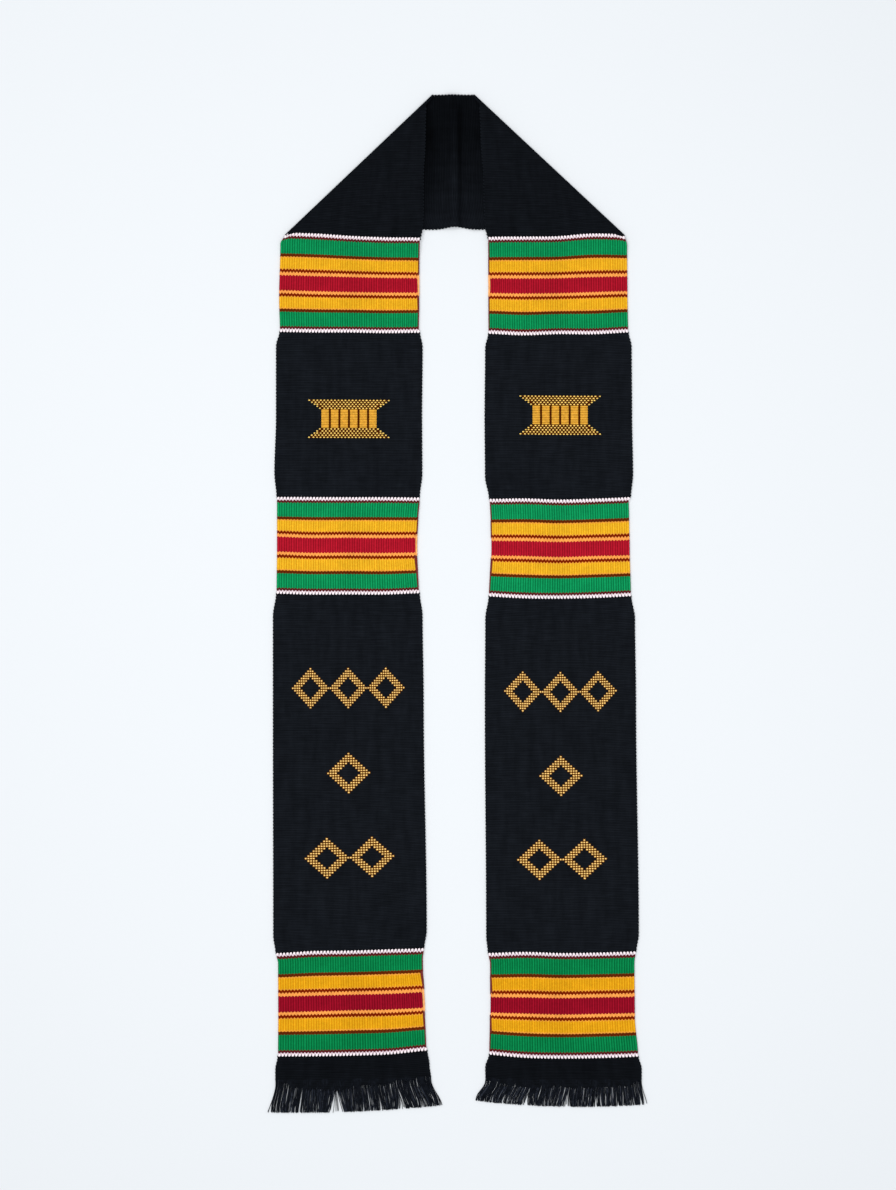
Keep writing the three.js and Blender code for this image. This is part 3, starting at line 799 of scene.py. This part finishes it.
def ribbed_stripe(name, leg, start, end, material, turned, insets, teeth, tone):
    lines = np.linspace(0, 1, RIBS * 5 + 1)
    rows = np.linspace(start, end, max(2, round((end - start) / 2.2)) + 1)
    rows[0] -= STRIPE_LAP
    rows[-1] += STRIPE_LAP
    down, across = np.meshgrid(rows, lines, indexing="ij")
    wave = np.sin(math.pi * RIBS * across)
    rib = 1 - RIB_DEPTH + RIB_DEPTH * np.abs(wave) ** 0.8
    part = edge_round(across, CLOTH_WIDTH, RIB_ROUND) * rib
    share = (down - start) / (end - start)
    swing = teeth[0] + (teeth[1] - teeth[0]) * share
    drawn_in = inner_edge(insets, share)
    inward = across + (OUTER_INSET * (1 - across) - drawn_in * smoothstep(across, 0.8, 1.0)) / CLOTH_WIDTH
    fall = down + swing * (0.6 - np.abs(np.sin(math.pi * TEETH * inward)))
    low = placed(band_mm(leg, fall, inward, BAND_THICK / 2 * (1 - part)))
    high = placed(band_mm(leg, fall, inward, BAND_THICK / 2 * (1 + part)))
    where = np.stack([across * RIBS * RIB_PITCH, 1 - share if turned else share], -1)
    return shell(name, low, high, where, material, tone)


stripes = []
for leg in SIGN:
    for band, tone in BAND_TONES.items():
        for number, found in enumerate(band_stripes(leg, band)):
            stripe, material, turned, start, end, (first, last, bulge), (above, below) = found
            node_name = f"{leg}_{band}_{stripe}"
            insets = (first + above, last + below, bulge)
            teeth = SCALLOPS[number:number + 2]
            cloth = ribbed_stripe(
                f"{node_name}_cloth", leg, start, end, material, turned, insets, teeth, tone
            )
            slot_name = stripe.split("_")[0] + "_rib"
            stripes.append((cloth, node_name, slot_name, (end - start) * MM))
print("stripes:", len(stripes), "triangles:", sum(2 * len(item[0].data.polygons) for item in stripes))

# %% [markdown]
# What repeats along a line is grown with Geometry Nodes. `grow` takes lines of points, runs a tree on
# them, and keeps the result as a plain mesh. The inputs are set by their identifiers before the tree
# first runs, and the modifier goes with the helper object.

# %% Grow a mesh from a tree
KINDS = {float: "NodeSocketFloat", int: "NodeSocketInt"}


def new_tree(name, sizes):
    tree = bpy.data.node_groups.new(name, "GeometryNodeTree")
    tree.is_modifier = True
    tree.interface.new_socket("Geometry", in_out="INPUT", socket_type="NodeSocketGeometry")
    for label, value in sizes.items():
        socket = tree.interface.new_socket(label, in_out="INPUT", socket_type=KINDS[type(value)])
        socket.default_value = value
    tree.interface.new_socket("Material", in_out="INPUT", socket_type="NodeSocketMaterial")
    tree.interface.new_socket("Geometry", in_out="OUTPUT", socket_type="NodeSocketGeometry")
    return tree, tree.nodes.new("NodeGroupInput").outputs, tree.nodes.new("NodeGroupOutput")


def finish_tree(tree, source, result, geometry):
    real = node(tree, "GeometryNodeRealizeInstances", {"Geometry": geometry}).outputs[0]
    smooth = node(tree, "GeometryNodeSetShadeSmooth", {"Geometry": real}).outputs[0]
    dressed = node(tree, "GeometryNodeSetMaterial", {"Geometry": smooth, "Material": source["Material"]})
    tree.links.new(dressed.outputs[0], result.inputs[0])


def polylines(paths):
    points = np.concatenate(paths)
    edges = []
    first = 0
    for path in paths:
        edges += [(first + k, first + k + 1) for k in range(len(path) - 1)]
        first += len(path)
    return points.tolist(), edges


def grow(name, paths, tree, material, **sizes):
    source = bpy.data.meshes.new(f"{name}_lines")
    source.from_pydata(*polylines(paths), [])
    helper = in_scene(f"{name}_lines", source)
    modifier = helper.modifiers.new("grow", "NODES")
    modifier.node_group = tree
    values = {key.replace("_", " "): value for key, value in sizes.items()}
    for item in tree.interface.items_tree:
        if item.in_out == "INPUT" and item.name in values:
            modifier[item.identifier] = values[item.name]
        if item.in_out == "INPUT" and item.name == "Material":
            modifier[item.identifier] = material
    depsgraph = bpy.context.evaluated_depsgraph_get()
    mesh = bpy.data.meshes.new_from_object(helper.evaluated_get(depsgraph), depsgraph=depsgraph)
    mesh.name = name
    bpy.data.objects.remove(helper)
    return in_scene(name, mesh)


# %% [markdown]
# A row of beads: short fat stitches set one behind the other along a line, one at each point of it, all
# turned by the same slant. The white edging of a band is such a row, and so is a selvedge. Each bead is a
# low ball with few faces, since thousands of them are set.

# %% Tree for a row of beads
def low_ball(tree, source, segments, rings):
    sphere = {"Segments": segments, "Rings": rings, "Radius": 0.5}
    ball = node(tree, "GeometryNodeMeshUVSphere", sphere).outputs[0]
    sides = {"X": source["Length"], "Y": source["Width"], "Z": source["Height"]}
    size = node(tree, "ShaderNodeCombineXYZ", sides).outputs[0]
    return node(tree, "GeometryNodeTransform", {"Geometry": ball, "Scale": size}).outputs[0]


beads, source, result = new_tree(
    "row of beads", {"Length": 0.003, "Width": 0.0015, "Height": 0.001, "Slant": 0.0}
)
line = node(beads, "GeometryNodeMeshToCurve", {"Mesh": source["Geometry"]}).outputs[0]
lean = node(beads, "ShaderNodeCombineXYZ", {"Z": source["Slant"]}).outputs[0]
bead = node(
    beads, "GeometryNodeTransform", {"Geometry": low_ball(beads, source, 8, 5), "Rotation": lean}
).outputs[0]
tangent = node(beads, "GeometryNodeInputTangent").outputs[0]
turned = node(beads, "FunctionNodeAlignRotationToVector", {"Vector": tangent}, axis="X").outputs[0]
spots = node(
    beads, "GeometryNodeInstanceOnPoints",
    {"Points": line, "Instance": bead, "Rotation": turned},
).outputs[0]
finish_tree(beads, source, result, spots)

# %% [markdown]
# A white two-ply yarn is laced round the last ribs of a band and leaves a tooth on each scallop. So a line
# of the edging has one bead at each scallop, and stands a little outside of the white stripe's middle.

# %% White edging of the bands
def leg_line(leg, down):
    teeth = (np.arange(TEETH) + 0.5) / TEETH
    return placed(band_mm(leg, down, np.clip(teeth, 0.012, 0.988), BAND_THICK - 0.2))


EDGING_OUT = 0.4
edgings = {}
for leg in SIGN:
    rows = []
    for band in BAND_TONES:
        start, end = span(band)
        rows.append(leg_line(leg, start + 0.5 * STRIPES[0][1] * LENGTHS[band] - EDGING_OUT))
        rows.append(leg_line(leg, end - 0.5 * STRIPES[-1][1] * LENGTHS[band] + EDGING_OUT)[::-1])
    edgings[leg] = grow(
        f"{leg}_white_edging", rows, beads, white_yarn,
        Length=0.0028, Width=0.0023, Height=0.001, Slant=0.85 if leg == "left" else -0.85,
    )
print("beads of one edging, faces:", len(edgings["left"].data.polygons))

# %% [markdown]
# The selvedges of the black ground are lines of small round loops, where the weft turns back round the
# outermost warp end. They run down both sides of the panels and hems, and all round the edges of the
# yoke. `evenly` spaces the points of such a line three millimetres apart.

# %% Selvedge loops
def evenly(path, pitch=0.003):
    place = np.concatenate([[0.0], np.cumsum(np.linalg.norm(np.diff(path, axis=0), axis=1))])
    stops = np.linspace(0, place[-1], max(2, round(place[-1] / pitch)) + 1)
    return np.stack([np.interp(stops, place, path[:, k]) for k in range(3)], -1)


def leg_edge(leg, start, end, across, height):
    return evenly(placed(leg_mm(leg, np.arange(start, end, 2.0), across, height)))


loops = {}
for leg in SIGN:
    rows = []
    for section in ("upper_panel", "lower_panel", "hem"):
        rows += [leg_edge(leg, *span(section), across, CLOTH_THICK / 2) for across in (0.004, 0.996)]
    loops[leg] = grow(
        f"{leg}_selvedge_loops", rows, beads, black_yarn,
        Length=0.0026, Width=0.0018, Height=0.0013, Slant=0.25,
    )
SHOULDER_STRETCH = 30
NECK_STRETCH = 47
stretches = [
    slice(0, SHOULDER_STRETCH), slice(NECK_STRETCH, len(middle) - NECK_STRETCH),
    slice(len(middle) - SHOULDER_STRETCH, len(middle)),
]
rows = [placed(middle[part, -1]) for part in stretches] + [placed(middle[stretches[1], 0])]
yoke_loops = grow(
    "yoke_selvedge_loops", [evenly(row) for row in rows], beads, black_yarn,
    Length=0.0028, Width=0.0014, Height=0.0012, Slant=0.25,
)

# %% [markdown]
# Where a band changes colour, the weaver doesn't cut the other yarns: they are carried up the inner
# selvedge to the next stripe. Maroon threads run beside the green and yellow stripes, and pale orange
# ones bridge the red core where it is drawn in. Where a colour is drawn in further, more threads lie side
# by side, up to three, so that they fill the gap. A tree turns lines into round yarn.

# %% Tree for a yarn, and the carried threads
strand, source, result = new_tree("yarn along a line", {"Radius": 0.0005, "Sides": 6})
line = node(strand, "GeometryNodeMeshToCurve", {"Mesh": source["Geometry"]}).outputs[0]
sizes = {"Resolution": source["Sides"], "Radius": source["Radius"]}
ring = node(strand, "GeometryNodeCurvePrimitiveCircle", sizes).outputs[0]
tube = node(strand, "GeometryNodeCurveToMesh", {"Curve": line, "Profile Curve": ring, "Fill Caps": True})
finish_tree(strand, source, result, tube.outputs[0])


THREAD_PITCH = 0.85
THREAD_HEIGHT = 0.9
THREAD_STEPS = 16


def carried(leg, start, end, insets, ends):
    part = np.linspace(0, 1, THREAD_STEPS)
    edge = inner_edge(insets, part)
    margin = ends[0] + (ends[1] - ends[0]) * part
    count = max(1, round(edge.max() / THREAD_PITCH))
    rows = []
    for k in range(count):
        across = 1 - (margin + edge * (k + 0.5) / count) / CLOTH_WIDTH
        rows.append(placed(leg_mm(leg, start + (end - start) * part, across, THREAD_HEIGHT)))
    return rows


threads = []
for leg in SIGN:
    maroon_rows = []
    orange_rows = []
    for band in BAND_TONES:
        for stripe, _, _, start, end, insets, ends in band_stripes(leg, band):
            if "red" in stripe and insets[0] > 1:
                orange_rows += carried(leg, start - 0.5, end + 0.5, insets, ends)
            elif "green" in stripe or "yellow" in stripe:
                maroon_rows += carried(leg, start - 0.4, end + 0.4, insets, ends)
    kinds = [("maroon", maroon_rows, maroon_yarn), ("orange", orange_rows, orange_yarn)]
    for colour, rows, material in kinds:
        name = f"{leg}_{colour}_carried_thread"
        threads.append(grow(name, rows, strand, material, Radius=0.00052, Sides=8))

# %% [markdown]
# Gold figures are woven with an extra weft that floats over the ground and is tied down every few warp
# ends, so they look like rows of small dots. A tree sets one low dot at each point of a chart. The dots
# differ slightly in size and turn, by a fixed seed.

# %% Tree for charted dots
dots, source, result = new_tree(
    "charted dots", {"Length": 0.0015, "Width": 0.0013, "Height": 0.0008, "Seed": 3}
)
dot = low_ball(dots, source, 6, 4)
growth = node(
    dots, "FunctionNodeRandomValue",
    {"Min": (0.9, 0.9, 0.85), "Max": (1.1, 1.08, 1.1), "Seed": source["Seed"]}, data_type="FLOAT_VECTOR",
).outputs[0]
turn = node(
    dots, "FunctionNodeRandomValue", {"Min": (0, 0, -0.2), "Max": (0, 0, 0.2), "Seed": source["Seed"]},
    data_type="FLOAT_VECTOR",
).outputs[0]
spots = node(
    dots, "GeometryNodeInstanceOnPoints",
    {"Points": source["Geometry"], "Instance": dot, "Rotation": turn, "Scale": growth},
).outputs[0]
finish_tree(dots, source, result, spots)


def join(name, parts):
    for item in bpy.context.selected_objects:
        item.select_set(False)
    for item in parts:
        item.select_set(True)
    bpy.context.view_layer.objects.active = parts[0]
    with bpy.context.temp_override(active_object=parts[0], selected_editable_objects=parts):
        bpy.ops.object.join()
    parts[0].name = name
    parts[0].data.name = name
    return parts[0]


# %% [markdown]
# A figure lies on its panel in its own small frame: `u` across and `v` down from its middle. The helper
# finds the right share of the panel's width for it, and puts the point at a height over the cloth. The
# right emblem was woven a little to the side and level, though its leg leans.

# %% Place points of a figure
FIGURE_SHIFTS = {("right", "upper_panel"): (1.6, 0.024)}
DOT_HEIGHT = CLOTH_THICK + 0.4
GROUND_HEIGHTS = (CLOTH_THICK - 0.1, CLOTH_THICK + 0.3)


def figure_point(leg, section, centre, u, v, height):
    aside, lean = FIGURE_SHIFTS.get((leg, section), (0.0, 0.0))
    v = v + lean * np.asarray(u, float)
    u = u + aside
    down = STARTS[section] + centre * LENGTHS[section] + v
    left = leg_mm(leg, down, 0.0)
    right = leg_mm(leg, down, 1.0)
    width = np.linalg.norm(right - left, axis=-1)
    u = np.asarray(u, float) * -SIGN[leg]
    return placed(leg_mm(leg, down, 0.5 + u / width, height))


def cells(name, leg, section, centre, boxes, material):
    points = []
    faces = []
    for corners in boxes:
        first = len(points)
        for height in GROUND_HEIGHTS:
            for u, v in corners:
                points.append(figure_point(leg, section, centre, u, v, height))
        faces += [(first + 3, first + 2, first + 1, first), (first + 4, first + 5, first + 6, first + 7)]
        for k in range(4):
            after = (k + 1) % 4
            faces.append((first + k, first + after, first + 4 + after, first + 4 + k))
    mesh = bpy.data.meshes.new(name)
    mesh.from_pydata([tuple(point) for point in points], [], faces)
    return in_scene(name, mesh, material)


# %% [markdown]
# The spool emblem has a flared cap and base in checkered dots, and six columns of level stitches between
# them, with dark gaps. It is a traditional figure. Cap, columns and base share one dark ground.

# %% Spool emblems
FLARE = 71.5
WAIST = 48.0
CAP = 8.8
SHAFT = 16.2
BASE = 9.2
COLUMNS = 6
COLUMN_GAP = 2.4
DOT_PITCH = 3.1
EMBLEM_DOWN = {"left": 0.52, "right": 0.484}
TOP = -(CAP + SHAFT + BASE) / 2
COLUMN_WIDTH = (WAIST - (COLUMNS - 1) * COLUMN_GAP) / COLUMNS


def slab(top, bottom, wide_top, wide_bottom):
    return [(-wide_top / 2, top), (wide_top / 2, top), (wide_bottom / 2, bottom), (-wide_bottom / 2, bottom)]


def checker(wide_edge, narrow_edge, rows):
    spots = []
    for k in range(rows):
        v = wide_edge + (narrow_edge - wide_edge) * (k + 0.4) / rows
        reach = (FLARE + (WAIST - FLARE) * k / rows) / 2 - 0.8
        spots += [(-reach, v), (reach, v)]
        for place in range(-14, 15):
            u = (place + 0.5 * (k % 2)) * DOT_PITCH
            if abs(u) < reach - 0.5 * DOT_PITCH:
                spots.append((u, v))
    return spots


def spool_emblem(leg):
    centre = EMBLEM_DOWN[leg]

    def place(spots, height):
        spots = np.array(spots)
        return figure_point(leg, "upper_panel", centre, spots[..., 0], spots[..., 1], height)

    shaft_top = TOP + CAP
    shaft_bottom = shaft_top + SHAFT
    boxes = [
        slab(TOP + 0.2, shaft_top, FLARE - 2, WAIST - 0.6),
        slab(shaft_top, shaft_bottom, WAIST - 0.6, WAIST - 0.6),
        slab(shaft_bottom, -TOP - 0.2, WAIST - 0.6, FLARE - 2),
    ]
    ground = cells(f"{leg}_emblem_ground", leg, "upper_panel", centre, boxes, emblem_ground)
    spots = checker(TOP, shaft_top, 5) + checker(-TOP, shaft_bottom, 5)
    heights = DOT_HEIGHT + np.array([-0.3, 0.05, 0.05, -0.3])
    bars = []
    for k in range(COLUMNS):
        u = -WAIST / 2 + COLUMN_WIDTH / 2 + k * (COLUMN_WIDTH + COLUMN_GAP)
        for v in np.linspace(shaft_top + 0.7, shaft_bottom - 0.7, 11):
            bars.append(place([(u + side * COLUMN_WIDTH / 2, v) for side in (-1, -0.8, 0.8, 1)], heights))
    sizes = {"Length": 0.002, "Width": 0.00133, "Height": 0.0009}
    parts = [
        ground,
        grow(f"{leg}_dots", [place(spots, DOT_HEIGHT)], dots, emblem_yarn, **sizes),
        grow(f"{leg}_bars", bars, strand, gold_yarn, Radius=0.0007, Sides=6),
    ]
    return join(f"{leg}_spool_emblem_weft", parts)


emblems = {leg: spool_emblem(leg) for leg in SIGN}

# %% [markdown]
# The lower panels carry three rows of raised gold weft. Here they are plain stepped lozenges, an old
# weaver's figure, drawn as a chart of dots: a dot is woven where its steps from the middle, counted
# across and down together, fall between two limits, which makes an open diamond with stepped sides.

# %% Motif rows
MOTIF_HEIGHT = 36.0
CHART = 17
OPENING = 5
# name, place down the panel, share of the cloth's width, and how many lozenges
MOTIFS = [("motif_row_1", 0.26, 0.765, 3), ("motif_row_2", 0.497, 0.295, 1), ("motif_row_3", 0.733, 0.61, 2)]


def lozenge_cells():
    half = CHART // 2
    reach = range(-half, half + 1)
    return [(i, j) for j in reach for i in reach if OPENING <= abs(i) + abs(j) <= half]


def motif_row(leg, name, down, width, lozenges):
    wide = width * CLOTH_WIDTH / (lozenges * CHART)
    tall = MOTIF_HEIGHT / CHART
    spots = []
    boxes = []
    for number in range(lozenges):
        centre = (number - (lozenges - 1) / 2) * CHART * wide
        for i, j in lozenge_cells():
            u, v = centre + i * wide, j * tall
            spots.append((u, v))
            boxes.append([
                (u - wide / 2, v - tall / 2), (u + wide / 2, v - tall / 2),
                (u + wide / 2, v + tall / 2), (u - wide / 2, v + tall / 2),
            ])
    spots = np.array(spots)
    ground = cells(f"{leg}_{name}_ground", leg, "lower_panel", down, boxes, figure_ground)
    places = figure_point(leg, "lower_panel", down, spots[:, 0], spots[:, 1], DOT_HEIGHT)
    tops = grow(
        f"{leg}_{name}_dots", [places], dots, pale_gold_yarn,
        Length=0.84 * wide * MM, Width=0.7 * tall * MM, Height=0.0008,
    )
    return join(f"{leg}_{name}_weft", [ground, tops])


motifs = {(leg, motif[0]): motif_row(leg, *motif) for leg in SIGN for motif in MOTIFS}
print("motif rows:", len(motifs), "faces of the first:", len(motifs["left", "motif_row_1"].data.polygons))

# %% [markdown]
# The end of the strip is a plain black hem whose warp ends run on as a fringe. The cloth's own end is
# ragged, lower where the warp ends are still packed, and its line comes from a generator with a fixed
# seed, so each run is the same.

# %% Hems
SOLID_LINES = {
    "left": [(0, -1), (0.05, 0), (0.12, 5), (0.3, 7), (0.405, 8), (0.5, 5), (0.6, 3.5), (0.7, 4), (0.78, 1),
             (0.9, 0), (1, -3)],
    "right": [(0, -1), (0.06, 3), (0.2, 5), (0.4, 6), (0.55, 4), (0.7, 5), (0.85, 4), (0.95, 2), (1, -1)],
}


def ragged_line(leg):
    marks = np.array(SOLID_LINES[leg], float)
    chance = np.random.default_rng(5)

    def line(across):
        return np.interp(across, marks[:, 0], marks[:, 1]) + chance.uniform(-1.6, 1.6, len(across))

    return line


HEM_THICK = 1.0
HEM_TONE = 0.62
hems = {}
for leg in SIGN:
    hems[leg] = leg_cloth(
        f"{leg}_hem_cloth", leg, STARTS["hem"] - UNDERLAP, STARTS["fringe"], HEM_THICK, black_cloth,
        step=2.0, tone=HEM_TONE, ragged=ragged_line(leg),
    )

# %% [markdown]
# The fringe is about five hundred single yarns for each leg, in two layers. They start side by side in
# the hem, keep together in locks, lean outwards with the flare of the cloth and part where the locks do:
# a slit has a place and a width, as shares of the cloth's. A few thin yarns stray into the gaps, and some
# yarns are worn pale, a paler colour that also stands in for painted glints on the strands. These
# generators have fixed seeds too.

# %% Fringe
SLITS = {
    "left": [
        (0.1, 0.002), (0.2, 0.012), (0.29, 0.002), (0.385, 0.1), (0.5, 0.012), (0.58, 0.004), (0.66, 0.004),
        (0.78, 0.055), (0.89, 0.018),
    ],
    "right": [
        (0.1, 0.006), (0.18, 0.012), (0.285, 0.028), (0.4, 0.006), (0.463, 0.034), (0.6, 0.006),
        (0.702, 0.034), (0.83, 0.016), (0.93, 0.01),
    ],
}
YARNS = 265
UNDER_YARNS = 235
WORN_GLINT_SHARE = 0.2
STRAND_STEPS = 9
ROOT = 4.5
LOWEST = 0.36


def slit_map(leg, place):
    marks = np.array([(0.0, 0.0), *SLITS[leg], (1.0, 0.0)])
    lock = np.clip(np.searchsorted(marks[:, 0], place) - 1, 0, len(marks) - 2)
    left = marks[lock, 0] + marks[lock, 1] / 2
    right = marks[lock + 1, 0] - marks[lock + 1, 1] / 2
    return left + (right - left) * (place - marks[lock, 0]) / (marks[lock + 1, 0] - marks[lock, 0])


def fringe_paths(leg, count, height, seed):
    chance = np.random.default_rng(seed)
    places = (np.arange(count) + 0.5) / count
    groups = np.repeat(np.arange(count), chance.integers(2, 6, count))[:count]
    paths = []
    for group in range(groups[-1] + 1):
        own = places[groups == group]
        core = own.mean()
        shift = slit_map(leg, core) - core
        target = core + shift + chance.normal(0, 0.0035)
        squeeze = chance.uniform(0.75, 1.05)
        short = abs(chance.normal(0, 0.015))
        bend = max(1.1, chance.uniform(2.0, 3.6) - 30 * abs(shift))
        for place in own:
            outer = max(0.0, abs(place - 0.5) - 0.46) * 40
            tip = target + (place - core) * squeeze + chance.normal(0, 0.0045 * (1 + outer))
            reach = LENGTHS["fringe"] * (1 - short - abs(chance.normal(0, 0.02)))
            part = np.linspace(0, 1, STRAND_STEPS)
            across = place + (tip - place) * part**bend + chance.normal(0, 0.0022) * np.sin(part * math.pi)
            down = STARTS["fringe"] - ROOT + (reach + ROOT) * part
            level = height * (1 - 0.3 * part) + 0.1 * np.sin(part * 9 + place * 60)
            level[0] = 0.4
            paths.append(placed(leg_mm(leg, down, across, np.maximum(level, LOWEST))))
    return paths


def stray_paths(leg, seed):
    chance = np.random.default_rng(seed)
    paths = []
    for slit, width in SLITS[leg]:
        for _ in range(max(1, round(width * 55))):
            tip = slit + chance.uniform(-0.4, 0.4) * width
            part = np.linspace(0, 1, STRAND_STEPS)
            across = slit + (tip - slit) * part + chance.normal(0, 0.002) * np.sin(part * math.pi)
            down = STARTS["fringe"] + LENGTHS["fringe"] * chance.uniform(0.88, 1.0) * part
            paths.append(placed(leg_mm(leg, down, across, 0.4)))
    return paths


fringes = {}
for number, leg in enumerate(SIGN):
    upper = fringe_paths(leg, YARNS, 0.85, 11 + number)
    # a share of the upper yarns are worn pale and also painted lighter as glinting strands
    worn_glint = np.random.default_rng(41 + number).random(len(upper)) < WORN_GLINT_SHARE
    kinds = [
        ("yarns", [path for path, pale in zip(upper, worn_glint) if not pale], fringe_yarn, 0.0003),
        ("worn_yarns", [path[3:] for path, pale in zip(upper, worn_glint) if pale], worn_glint_yarn, 0.0003),
        ("under_yarns", fringe_paths(leg, UNDER_YARNS, 0.42, 21 + number), fringe_yarn, 0.0003),
        ("strays", stray_paths(leg, 31 + number), fringe_yarn, 0.00024),
    ]
    parts = []
    for name, paths, material, radius in kinds:
        parts.append(grow(f"{leg}_{name}", paths, strand, material, Radius=radius, Sides=5))
    fringes[leg] = join(f"{leg}_fringe_yarns", parts)
print("fringe faces of a leg:", len(fringes["left"].data.polygons))

# %% [markdown]
# Last, every piece is attached to the one body, and the solids it stands for, where there are any, are
# hidden. Everything rides on the one body, because a limp strip has no joints.

def dress(piece, slot_name, *nodes):
    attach(piece, "root")
    if nodes:
        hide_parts(*nodes)


dress(yoke, "black_cloth", "yoke")
dress(yoke_loops, "black_cloth")
for (leg, section), piece in panels.items():
    dress(piece, "black_cloth", f"{leg}_{section}")
for piece, node_name, slot_name, length in stripes:
    dress(piece, slot_name, node_name)
for leg in SIGN:
    dress(edgings[leg], "white_rib")
    dress(loops[leg], "black_cloth")
    dress(emblems[leg], "gold_inlay", f"{leg}_spool_emblem")
    dress(hems[leg], "black_cloth", f"{leg}_hem_fringe")
    dress(fringes[leg], "black_cloth")
for (leg, name), piece in motifs.items():
    dress(piece, "gold_inlay", f"{leg}_{name}")
for piece in threads:
    dress(piece, "red_rib")
